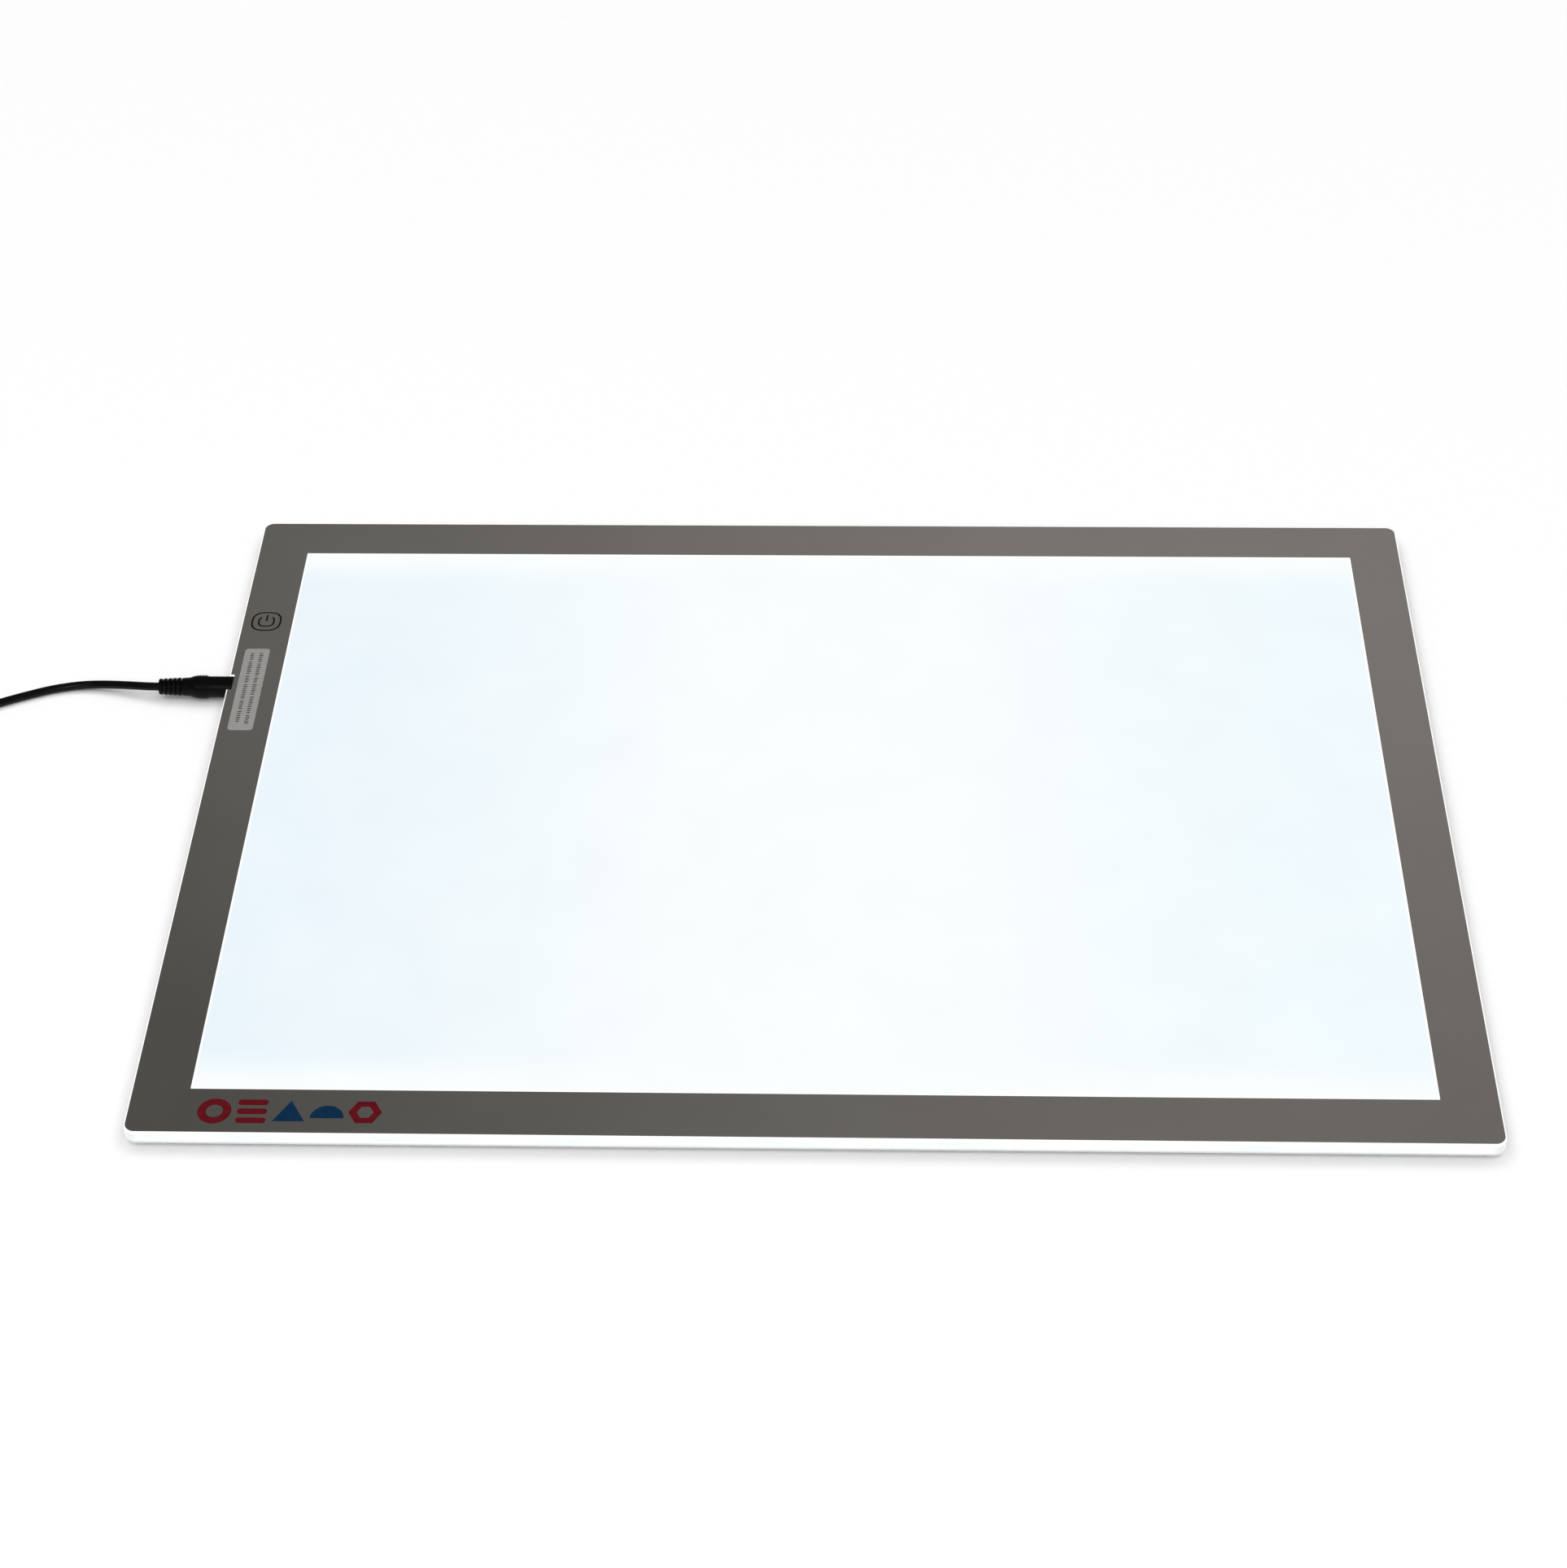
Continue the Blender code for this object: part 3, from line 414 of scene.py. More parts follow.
def ink_look(name, colour):
    """Screen-printed ink: a film with a slightly uneven coat."""
    surface = Surface(name, Specular_IOR_Level=0.08)
    surface.colour(surface.tones(surface.noise(0.0009, 3.0), shade(colour, 0.85), shade(colour, 1.15)))
    surface.gloss(surface.noise(0.003, 3.0), 0.32, 0.48)
    surface.relief(surface.noise(0.0002), 0.000003)
    return surface.material


def label_look():
    """A grey matt sticker: paper fibre under a thin varnish."""
    surface = Surface("label_paper", Specular_IOR_Level=0.15)
    fibre = surface.noise(0.0006, 4.0, 0.65, surface.stretched((1.0, 0.3, 1.0)))
    surface.colour(surface.tones(fibre, (0.262, 0.252, 0.247), (0.306, 0.295, 0.289)))
    surface.gloss(surface.noise(0.004, 3.0), 0.45, 0.6)
    surface.relief(fibre, 0.000006)
    return surface.material


def cord_look():
    """Glossy black sheath with dull scuffs and a fine skin."""
    surface = Surface("cord_sheath", Specular_IOR_Level=0.14)
    scuffs = surface.noise(0.006, 5.0, 0.65)
    surface.colour(surface.tones(scuffs, (0.0020, 0.0020, 0.0020), (0.0040, 0.0040, 0.0039), 0.35, 0.75))
    surface.gloss(scuffs, 0.22, 0.32)
    surface.relief(surface.noise(0.0009, 3.0), 0.00001)
    return surface.material


def metal_look(name, colour, pitch, axis):
    """Plated metal with fine drawn lines round it, and a slightly clouded plating."""
    surface = Surface(name, Metallic=1.0)
    factors = [4.0 if letter == axis else 0.15 for letter in "XYZ"]
    lines = surface.noise(pitch, 3.0, 0.6, surface.stretched(factors))
    surface.colour(surface.tones(surface.noise(0.002, 3.0), shade(colour, 0.88), shade(colour, 1.06)))
    surface.gloss(lines, 0.18, 0.34)
    surface.relief(lines, 0.000004)
    return surface.material


def board_look(name, mask, copper):
    """A circuit board: solder mask over faint tracks, with its weave just showing."""
    surface = Surface(name, Specular_IOR_Level=0.5)
    tracks = surface.math("GREATER_THAN", surface.waves(0.0012, "X"), 0.62)
    cuts = surface.math("GREATER_THAN", surface.noise(0.006, 1.0), 0.47)
    shown = surface.math("MULTIPLY", surface.math("MULTIPLY", tracks, cuts), 0.8)
    surface.colour(surface.blend(shown, mask, copper))
    surface.gloss(surface.noise(0.002, 3.0), 0.28, 0.42)
    surface.relief(surface.math("ADD", shown, surface.waves(0.0004, "Y")), 0.00001)
    return surface.material


def guide_look():
    """Clear acrylic with the fine etched dots that let its light out, larger away from the lamps."""
    surface = Surface("light_guide_acrylic", Transmission_Weight=0.6, IOR=1.49)
    dot_size = surface.spread(surface.off_centre("Y"), 0.0, 0.16, 0.42, 0.22)
    dots = surface.math("LESS_THAN", surface.cells(0.0016), dot_size)
    surface.colour(surface.blend(dots, (0.93, 0.97, 0.98), (0.98, 0.98, 0.98)))
    surface.gloss(surface.noise(0.01), 0.04, 0.12)
    surface.relief(dots, 0.00003)
    surface.glow(surface.blend(dots, (0.35, 0.42, 0.45), (0.95, 0.98, 1.0)), 0.6)
    return surface.material


def lit_film_look(name, gloss, strength):
    """A white optical film with light behind it."""
    surface = Surface(name)
    grain = surface.noise(0.0004)
    surface.colour(surface.tones(grain, (0.86, 0.89, 0.91), (0.92, 0.95, 0.97)))
    surface.gloss(surface.noise(0.008, 3.0), *gloss)
    surface.relief(grain, 0.000005)
    surface.glow(surface.tones(surface.noise(0.05), (0.85, 0.92, 0.97), (0.95, 0.98, 1.0)), strength)
    return surface.material


def lamp_look():
    """A white lamp board with the yellow phosphor of its lamps, one each pitch along the strip."""
    lamp_pitch = 0.0125
    surface = Surface("lamp_strip")
    ridge = surface.math("GREATER_THAN", surface.waves(lamp_pitch, "X"), 0.80)
    surface.colour(surface.blend(ridge, (0.84, 0.84, 0.80), (0.88, 0.78, 0.32)))
    surface.gloss(surface.noise(0.001, 3.0), 0.3, 0.5)
    surface.relief(surface.noise(0.0005), 0.000008)
    return surface.material


def foam_look(name, colour, grain):
    """An open foam, pitted all over, with painted shade darkening its pits."""
    surface = Surface(name)
    pits = surface.cells(grain)
    # Painted shade: the colour is darker in the pits.
    surface.colour(surface.tones(pits, shade(colour, 0.55), shade(colour, 1.2), 0.1, 0.6))
    surface.gloss(surface.noise(0.001), 0.8, 0.95)
    surface.relief(pits, 0.0001)
    return surface.material


def woven_look(name, colour):
    """A woven tape: short ribs across it and a nap on top, with painted shade darkening the hollows
    between them.
    """
    surface = Surface(name, Sheen_Weight=0.3, Sheen_Roughness=0.5)
    weave = surface.math("MULTIPLY", surface.waves(0.0005, "X"), surface.waves(0.0007, "DIAGONAL"))
    nap = surface.noise(0.0005, 3.0, 0.65)
    height = surface.math("ADD", weave, nap)
    # Painted shade: the colour is darker where the weave and the nap are low.
    surface.colour(surface.tones(height, shade(colour, 0.6), shade(colour, 1.5), 0.3, 0.9))
    surface.gloss(nap, 0.7, 0.9)
    surface.relief(height, 0.00006)
    return surface.material


# ---------------------------------------------------------------- shapes


def arc(centre, radius, start_angle, sweep=math.pi / 2, steps=8):
    points = []
    for step in range(steps + 1):
        angle = start_angle + sweep * step / steps
        points.append((centre[0] + radius * math.cos(angle), centre[1] + radius * math.sin(angle)))
    return points


def rounded_box(low, high, radius, steps=8):
    """A rectangle with round corners, anticlockwise from the back end of its right edge."""
    (x0, y0), (x1, y1) = low[:2], high[:2]
    centres = (
        (x1 - radius, y1 - radius),
        (x0 + radius, y1 - radius),
        (x0 + radius, y0 + radius),
        (x1 - radius, y0 + radius),
    )
    points = []
    for quarter, centre in enumerate(centres):
        points += arc(centre, radius, math.pi / 2 * quarter, steps=steps)
    return points


def finish_mesh(mesh, look):
    """Welds a mesh, turns its faces out and shades it smooth, apart from its level faces."""
    weld_distance = 1e-7
    level = 0.9999
    sharp = math.radians(40)
    shape = bmesh.new()
    shape.from_mesh(mesh)
    bmesh.ops.remove_doubles(shape, verts=shape.verts, dist=weld_distance)
    bmesh.ops.recalc_face_normals(shape, faces=shape.faces)
    shape.normal_update()
    for face in shape.faces:
        face.smooth = abs(face.normal.z) < level
    shape.to_mesh(mesh)
    shape.free()
    mesh.set_sharp_from_angle(angle=sharp)
    mesh.materials.clear()
    mesh.materials.append(look)


def slab(name, outlines, levels, look, rounding=EDGE_SOFTENING):
    """A flat piece with rounded edges. A hole is an outline inside another, run the other way."""
    low, high = levels
    curve = bpy.data.curves.new(name, "CURVE")
    curve.dimensions = "2D"
    curve.fill_mode = "BOTH"
    curve.extrude = (high - low) / 2 - rounding
    curve.bevel_depth = rounding
    curve.bevel_resolution = 2
    curve.offset = -rounding
    for outline in outlines:
        spline = curve.splines.new("POLY")
        spline.points.add(len(outline) - 1)
        for point, (x, y) in zip(spline.points, outline):
            point.co = (x, y, 0.0, 1.0)
        spline.use_cyclic_u = True
    guide = link(bpy.data.objects.new(name + "_outline", curve))
    bpy.context.view_layer.update()
    evaluated = guide.evaluated_get(bpy.context.evaluated_depsgraph_get())
    mesh = bpy.data.meshes.new_from_object(evaluated)
    mesh.name = name
    bpy.data.objects.remove(guide)
    bpy.data.curves.remove(curve)
    mesh.transform(Matrix.Translation((0.0, 0.0, (low + high) / 2)))
    finish_mesh(mesh, look)
    return link(bpy.data.objects.new(name, mesh))


def skinned(name, rings, look, closed_path=False):
    """A mesh over rings of as many points each, closed on itself or capped at its ends."""
    shape = bmesh.new()
    rows = [[shape.verts.new(point) for point in ring] for ring in rings]
    count = len(rows[0])
    pairs = list(zip(rows, rows[1:]))
    if closed_path:
        pairs.append((rows[-1], rows[0]))
    for first, second in pairs:
        for step in range(count):
            after = (step + 1) % count
            shape.faces.new((first[step], first[after], second[after], second[step]))
    if not closed_path:
        shape.faces.new(rows[0][::-1])
        shape.faces.new(rows[-1])
    mesh = bpy.data.meshes.new(name)
    shape.to_mesh(mesh)
    shape.free()
    finish_mesh(mesh, look)
    return link(bpy.data.objects.new(name, mesh))


def stacked(name, outline_at, profile, look):
    """A piece made of level outlines. The profile holds (height, inset) pairs, from cap to cap."""
    rings = [[(x, y, height) for x, y in outline_at(inset)] for height, inset in profile]
    return skinned(name, rings, look)


def turned(name, profile, start, direction, look, steps=ROUND_STEPS):
    """A turned piece. The profile holds (distance along the axis, radius) pairs, from cap to cap."""
    turn = Vector((0.0, 0.0, 1.0)).rotation_difference(Vector(direction)).to_matrix()
    rings = []
    for along, radius in profile:
        ring = []
        for step in range(steps):
            angle = 2 * math.pi * step / steps
            local = Vector((radius * math.cos(angle), radius * math.sin(angle), along))
            ring.append(Vector(start) + turn @ local)
        rings.append(ring)
    return skinned(name, rings, look)


def softened(profile, radius):
    """A profile with each of its inner corners rounded, never by more than a third of its sides."""
    steps = 4
    points = [profile[0]]
    for before, at, after in zip(profile, profile[1:], profile[2:]):
        corner = Vector(at)
        back = Vector(before) - corner
        on = Vector(after) - corner
        reach = min(radius, min(back.length, on.length) / 3)
        first = corner + back.normalized() * reach
        last = corner + on.normalized() * reach
        for step in range(steps + 1):
            t = step / steps
            points.append(tuple(first * (1 - t) ** 2 + corner * 2 * t * (1 - t) + last * t**2))
    points.append(profile[-1])
    return points


def dimly(obj):
    """Keeps a glowing piece from lighting the floor, which leaves the soft shadow beside it."""
    unlit = bpy.data.collections.get("unlit_by_glow")
    if unlit is None:
        unlit = bpy.data.collections.new("unlit_by_glow")
        unlit.objects.link(bpy.data.objects["floor"])
        unlit.collection_objects[0].light_linking.link_state = "EXCLUDE"
    obj.light_linking.receiver_collection = unlit
    return obj


def settle(obj, body, slot, *nodes):
    """Puts a piece on its body and hides the CAD nodes that it stands for. The slot is not used."""
    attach(obj, body)
    if nodes:
        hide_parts(*nodes)
    return obj


# ---------------------------------------------------------------- panel


def panel_outline(low, high, radius, notch):
    """A sheet of the panel: round corners, and a notch's points in its left edge, from back to front."""
    outline = rounded_box(low, high, radius, CORNER_STEPS)
    left_edge = 2 * (CORNER_STEPS + 1)
    return outline[:left_edge] + notch + outline[left_edge:]


def notch_points(low_y, high_y, left, right):
    """A plain notch in a left edge."""
    return [(left, high_y), (right, high_y), (right, low_y), (left, low_y)]


def back_shell(look):
    low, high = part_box("back_plate")
    notch = notch_points(SOCKET_LOW.y, SOCKET_HIGH.y, low.x, SOCKET_LOW.x - SOCKET_CLEARANCE)
    outline = panel_outline(low, high, CORNER_RADIUS, notch)
    settle(slab("back_shell", [outline], (low.z, high.z), look), "panel", "white_plastic", "back_plate")


def cover(look):
    """The cover over the lit window. Its room for the socket narrows at the edge, round the plug."""
    low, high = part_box("cover_sheet")
    mouth = 0.00415
    room = (SOCKET_HIGH.y - SOCKET_LOW.y) / 2 + SOCKET_CLEARANCE
    shoulder = SOCKET_LOW.x - SOCKET_CLEARANCE
    end = SOCKET_HIGH.x + SOCKET_CLEARANCE
    notch = [
        (low.x, PLUG_Y + mouth),
        (shoulder, PLUG_Y + mouth),
        *notch_points(PLUG_Y - room, PLUG_Y + room, shoulder, end),
        (shoulder, PLUG_Y - mouth),
        (low.x, PLUG_Y - mouth),
    ]
    outline = panel_outline(low, high, CORNER_RADIUS, notch)
    plate = dimly(slab("cover", [outline], (low.z, high.z), look))
    settle(plate, "panel", "cover_acrylic", "cover_sheet")


def border(look):
    """The printed film, with its window and its notch round the plug's end."""
    low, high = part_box("border_film")
    half_notch = 0.0046
    window_corner = 0.0003
    softening = 0.00006
    notch = notch_points(PLUG_Y - half_notch, PLUG_Y + half_notch, low.x, SOCKET_LOW.x - SOCKET_CLEARANCE)
    outline = panel_outline(low, high, CORNER_RADIUS - (low.x - PANEL_LOW.x), notch)
    window_low = (-WINDOW_LENGTH / 2, -WINDOW_DEPTH / 2)
    window_high = (WINDOW_LENGTH / 2, WINDOW_DEPTH / 2)
    window = rounded_box(window_low, window_high, window_corner, 3)[::-1]
    film = slab("border", [outline, window], (low.z, high.z), look, softening)
    settle(film, "panel", "border_print", "border_film")


def strip_outline(low, high, corner, width):
    """Round one corner of the panel: corner holds the signs of its X and Y."""
    side_x, side_y = corner
    edge_x = side_x * PANEL_LENGTH / 2
    edge_y = side_y * PANEL_DEPTH / 2
    reach_x = low.x if side_x > 0 else high.x
    reach_y = low.y if side_y > 0 else high.y
    centre = (edge_x - side_x * CORNER_RADIUS, edge_y - side_y * CORNER_RADIUS)
    start = math.pi / 2 * side_y
    sweep = -math.pi / 2 * side_x * side_y
    outer = arc(centre, CORNER_RADIUS, start, sweep, CORNER_STEPS)
    inner_x = edge_x - side_x * width
    inner_y = edge_y - side_y * width
    inner = [(inner_x, reach_y), (inner_x, inner_y), (reach_x, inner_y)]
    points = [(reach_x, edge_y), *outer, (edge_x, reach_y), *inner]
    return points if side_x * side_y < 0 else points[::-1]


def edge_strips(look):
    """The strip round each corner, and the straight one from the socket to the back."""
    width = 0.003
    corners = {"front": (1, -1), "right": (1, 1), "rear": (-1, 1), "left_front": (-1, -1)}
    for place in (*corners, "left_rear"):
        node = "edge_strip_" + place
        low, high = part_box(node)
        outline = [(low.x, low.y), (high.x, low.y), (high.x, high.y), (low.x, high.y)]
        if place in corners:
            outline = strip_outline(low, high, corners[place], width)
        strip = dimly(slab("glow_strip_" + place, [outline], (low.z, high.z), look))
        settle(strip, "panel", "edge_acrylic", node)


def printed(name, outlines, node, ink, slot):
    """Ink on top of one of the panel's sheets."""
    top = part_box(node)[1].z
    film = slab(name, outlines, (top, top + INK_THICKNESS), ink, 0.0)
    settle(film, "panel", slot)


def label(look, ink):
    """The sticker, with two rows of plain short bars in groups along it."""
    low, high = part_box("notice_label")
    sticker_corner = 0.0015
    softening = 0.00003
    sticker = slab("sticker", [rounded_box(low, high, sticker_corner)], (low.z, high.z), look, softening)
    settle(sticker, "panel", "label_paper", "notice_label")
    row_inset = 0.0031
    end_margin = 0.0029
    bar_length = 0.00052
    bar_pitch = 0.00113
    bar_corner = 0.00015
    half_height = 0.00070
    tall_reach = 0.00095
    rows = (
        (high.x - row_inset, (5, 7, 3, 6, 9, 5)),
        (low.x + row_inset, (4, 7, 4, 8, 5, 6)),
    )
    bars = []
    for middle, groups in rows:
        back = high.y - end_margin
        for count in groups:
            for number in range(count):
                reach = tall_reach if (number + count) % 3 == 0 else half_height
                corner_low = (middle - half_height, back - bar_length)
                bars.append(rounded_box(corner_low, (middle + reach, back), bar_corner, 2))
                back -= bar_pitch
            back -= bar_pitch * 0.6
    printed("sticker_bars", bars, "notice_label", ink, "label_paper")


def squircle(centre, half, start=0.0, sweep=2 * math.pi, steps=64):
    """Points along a square with very round corners. A whole turn leaves out its last point."""
    power = 2.7
    last = steps if sweep < 2 * math.pi else steps - 1
    points = []
    for step in range(last + 1):
        angle = start + sweep * step / steps
        across, along = math.cos(angle), math.sin(angle)
        x = math.copysign(abs(across) ** (2 / power), across) * half
        y = math.copysign(abs(along) ** (2 / power), along) * half
        points.append((centre[0] + x, centre[1] + y))
    return points


def open_ring(centre, half, stroke, gap_angle):
    """A squarish ring of one stroke, open towards +Y."""
    start = math.pi / 2 + gap_angle / 2
    sweep = 2 * math.pi - gap_angle
    outer = squircle(centre, half, start, sweep)
    inner = squircle(centre, half - stroke, start, sweep)
    return outer + inner[::-1]


def key_mark(ink):
    """The touch key's mark: a squarish ring round an open ring and a bar."""
    low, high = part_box("touch_electrode")
    x = (low.x + high.x) / 2
    y = (low.y + high.y) / 2
    stroke = 0.00064
    half = 0.0059
    inner_half = 0.0033
    gap_angle = math.radians(72)
    bar_foot = 0.0002
    bar_top = 0.0041
    bar = rounded_box((x - stroke / 2, y + bar_foot), (x + stroke / 2, y + bar_top), stroke / 2.1, 4)
    outlines = [
        squircle((x, y), half),
        squircle((x, y), half - stroke)[::-1],
        open_ring((x, y), inner_half, stroke, gap_angle),
        bar,
    ]
    printed("key_mark", outlines, "border_film", ink, "border_print")


def polygon(centre, radius, sides, turn=0.0):
    return arc(centre, radius, turn, 2 * math.pi, sides)[:-1]


def pierced(centre, radius, sides):
    """An outline of many sides, and its hole of half the size."""
    return [polygon(centre, radius, sides), polygon(centre, radius / 2, sides)[::-1]]


def front_print(red, blue):
    """Five plain generic shapes on the front border, in two colours."""
    y = -0.1587
    first = -0.2003
    pitch = 0.0127
    radius = 0.0057
    bar_pitch = 0.0041
    bar_half_height = 0.0013
    bar_corner = 0.0012
    ring_x, bars_x, triangle_x, half_disc_x, hexagon_x = (first + pitch * step for step in range(5))
    red_shapes = pierced((ring_x, y), radius, 64)
    for step in (-1, 0, 1):
        low = (bars_x - radius * 0.9, y + step * bar_pitch - bar_half_height)
        high = (bars_x + radius * 0.9, y + step * bar_pitch + bar_half_height)
        red_shapes.append(rounded_box(low, high, bar_corner, 4))
    red_shapes += pierced((hexagon_x, y), radius, 6)
    triangle = polygon((triangle_x, y - radius * 0.22), radius * 1.1, 3, math.pi / 2)
    half_disc = arc((half_disc_x, y - radius * 0.5), radius, 0.0, math.pi, 40)
    printed("front_print_red", red_shapes, "border_film", red, "border_print")
    printed("front_print_blue", [triangle, half_disc], "border_film", blue, "border_print")


def feet(look):
    """Four soft feet: a dished face, a round shoulder and a thin flange against the shell."""
    for place in ("front_left", "front_right", "rear_left", "rear_right"):
        node = "rubber_foot_" + place
        low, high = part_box(node)
        radius = (high.x - low.x) / 2
        height = high.z - low.z
        profile = [
            (0.0, radius * 0.2),
            (0.0, radius),
            (height * 0.25, radius),
            (height * 0.35, radius * 0.93),
            (height, radius * 0.82),
            (height, radius * 0.55),
            (height * 0.8, radius * 0.45),
            (height * 0.8, radius * 0.2),
        ]
        centre = ((low.x + high.x) / 2, (low.y + high.y) / 2, high.z)
        foot = turned("foot_" + place, softened(profile, 0.0003), centre, (0.0, 0.0, -1.0), look, 48)
        settle(foot, "panel", "foot_rubber", node)


# ---------------------------------------------------------------- power lead


def smooth_route(points):
    """Points along the smooth curve through the given ones."""
    chosen = [Vector(point) for point in points]
    ends = [2 * chosen[0] - chosen[1]] + chosen + [2 * chosen[-1] - chosen[-2]]
    fine = []
    for before, start, end, after in zip(ends, ends[1:], ends[2:], ends[3:]):
        for step in range(ROUTE_STEPS):
            t = step / ROUTE_STEPS
            bend = (2 * before - 5 * start + 4 * end - after) * t**2
            twist = (3 * start - before - 3 * end + after) * t**3
            fine.append(0.5 * (2 * start + (end - before) * t + bend + twist))
    fine.append(chosen[-1])
    return fine


def ease(value):
    value = min(1.0, max(0.0, value))
    return value * value * (3.0 - 2.0 * value)


def coil_points():
    """The wound turns, layer on layer. About once a turn the cord moves on to its next place."""
    offsets = [CORD_DIAMETER * step for step in (1, 0, -1)]
    places = []
    for layer in range(COIL_LAYERS):
        height = COIL_BASE_Z + CORD_DIAMETER * (layer + 0.5)
        row = offsets if layer % 2 == 0 else offsets[::-1]
        places += [(COIL_MID_RADIUS + offset, height) for offset in row]
    move_width = math.radians(52.0)
    first_move = COIL_JOIN_ANGLE + math.radians(328.0)
    between_moves = math.radians(340.0)
    last_angle = COIL_LEAVE_ANGLE + 2 * math.pi * (COIL_TURNS_ACROSS * COIL_LAYERS - 1)
    count = round((last_angle - COIL_JOIN_ANGLE) / (2 * math.pi) * COIL_STEPS_PER_TURN)
    points = []
    for step in range(count + 1):
        angle = COIL_JOIN_ANGLE + (last_angle - COIL_JOIN_ANGLE) * step / count
        radius, height = places[0]
        for number, (next_radius, next_height) in enumerate(places[1:]):
            start = first_move + number * between_moves - move_width / 2
            share = ease((angle - start) / move_width)
            radius += share * (next_radius - places[number][0])
            height += share * (next_height - places[number][1])
        x = COIL_CENTRE[0] + radius * math.cos(angle)
        y = COIL_CENTRE[1] + radius * math.sin(angle)
        points.append(Vector((x, y, height)))
    return points


def power_cord(look):
    turns = coil_points()
    lead = smooth_route([*LEAD_ROUTE, tuple(turns[1])])[:-1]
    tail = smooth_route([tuple(turns[-2]), *TAIL_ROUTE, CORD_END_IN_CASE])[1:]
    points = lead + turns[1:-1] + tail
    curve = bpy.data.curves.new("power_cord", "CURVE")
    curve.dimensions = "3D"
    curve.bevel_depth = CORD_DIAMETER / 2
    curve.bevel_resolution = 5
    curve.use_fill_caps = True
    spline = curve.splines.new("POLY")
    spline.points.add(len(points) - 1)
    for point, place in zip(spline.points, points):
        point.co = (*place, 1.0)
    spline.use_smooth = True
    curve.materials.append(look)
    obj = link(bpy.data.objects.new("power_cord", curve))
    settle(obj, "power_lead", "cord_sheath", "cord_to_coil", "cord_coil", "cord_to_adaptor")


def plug_body(look):
    """The moulded plug: plain front, raised collar, taper and ribbed strain relief."""
    tail = PLUG_LENGTH
    barrel_hole = 0.00185
    barrel_hole_depth = 0.0040
    core = 0.0002
    ribs = 5
    rib_pitch = 0.0018
    groove = 0.0006
    groove_radius = 0.0024
    cord_hole_depth = 0.002
    start = tail - ribs * rib_pitch
    profile = [
        (barrel_hole_depth, core),
        (barrel_hole_depth, barrel_hole),
        (0.0, barrel_hole),
        (0.0, 0.0041),
        (0.0098, 0.0041),
        (0.0101, 0.0044),
        (0.0140, 0.0044),
        (0.0152, 0.0042),
        (0.0170, 0.0036),
        (start, 0.0034),
    ]
    for number in range(ribs):
        crest = 0.0035 - 0.0001 * number
        root = start + number * rib_pitch
        side = root + groove
        profile += [(root, groove_radius), (side, groove_radius), (side, crest), (root + rib_pitch, crest)]
    profile += [(tail, CORD_HOLE), (tail - cord_hole_depth, CORD_HOLE), (tail - cord_hole_depth, core)]
    front = (PLUG_HIGH.x, PLUG_Y, PLUG_Z)
    body = turned("plug_body", softened(profile, 0.00025), front, (-1.0, 0.0, 0.0), look)
    return settle(body, "power_lead", "plug_rubber", "dc_plug_body")


def grip_bar(name, along, middle_angle, look):
    """A low bar that reaches part of the way round the plug's collar."""
    collar_radius = 0.00435
    bar_radius = 0.00022
    reach_degrees = 50
    steps = 24
    corners = 12
    rings = []
    for step in range(steps + 1):
        angle = middle_angle + math.radians(-reach_degrees + 2 * reach_degrees * step / steps)
        out = Vector((0.0, math.cos(angle), math.sin(angle)))
        middle = Vector((PLUG_HIGH.x - along, PLUG_Y, PLUG_Z)) + out * collar_radius
        ring = []
        for corner in range(corners):
            turn = 2 * math.pi * corner / corners
            sideways = Vector((bar_radius * math.cos(turn), 0.0, 0.0))
            ring.append(middle + out * bar_radius * math.sin(turn) + sideways)
        rings.append(ring)
    return settle(skinned(name, rings, look), "power_lead", "plug_rubber")


def grip_bars(look):
    """Three bars on the front of the plug's collar and three on its back."""
    first = 0.0109
    pitch = 0.0011
    bars = []
    for number in range(3):
        for middle_angle in (0.0, math.pi):
            name = f"plug_grip_bar_{len(bars) + 1}"
            bars.append(grip_bar(name, first + pitch * number, middle_angle, look))
    return bars


def tie(look):
    """The band round the coil: one close turn with its free end lapped over it."""
    low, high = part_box("cord_tie")
    thickness = 0.0004
    corner = 0.0012
    soft = 0.0001
    lap_inset = 0.0002
    lap_front = 0.0016
    lap_back = 0.0022
    outline = rounded_box((low.y, low.z), (high.y, high.z), corner, 6)
    inner_low = (low.y + thickness, low.z + thickness)
    inner_high = (high.y - thickness, high.z - thickness)
    inner = rounded_box(inner_low, inner_high, corner - thickness, 6)
    across = (low.x, low.x + soft, high.x - soft, high.x)
    rings = []
    for (outer_y, outer_z), (inner_y, inner_z) in zip(outline, inner):
        ring = [(x, outer_y, outer_z) for x in across]
        rings.append([*ring, (high.x, inner_y, inner_z), (low.x, inner_y, inner_z)])
    band = skinned("tie_band", rings, look, closed_path=True)
    settle(band, "power_lead", "tie_plastic", "cord_tie")
    lap_low = (low.x + lap_inset, low.y + lap_front)
    lap_high = (high.x - lap_inset, high.y - lap_back)
    lap = rounded_box(lap_low, lap_high, corner, 4)
    end = slab("tie_lap", [lap], (high.z, high.z + thickness), look, soft)
    settle(end, "power_lead", "tie_plastic")
    return [band, end]


def box_profile(low, high, bottom_round, top_round):
    """(height, inset) pairs up a box's side, with a rounded edge at each end."""
    steps = 6
    angles = [math.pi / 2 * step / steps for step in range(steps + 1)]
    profile = []
    for angle in angles:
        profile.append((low + bottom_round * (1 - math.cos(angle)), bottom_round * (1 - math.sin(angle))))
    for angle in angles:
        profile.append((high - top_round * (1 - math.sin(angle)), top_round * (1 - math.cos(angle))))
    return profile


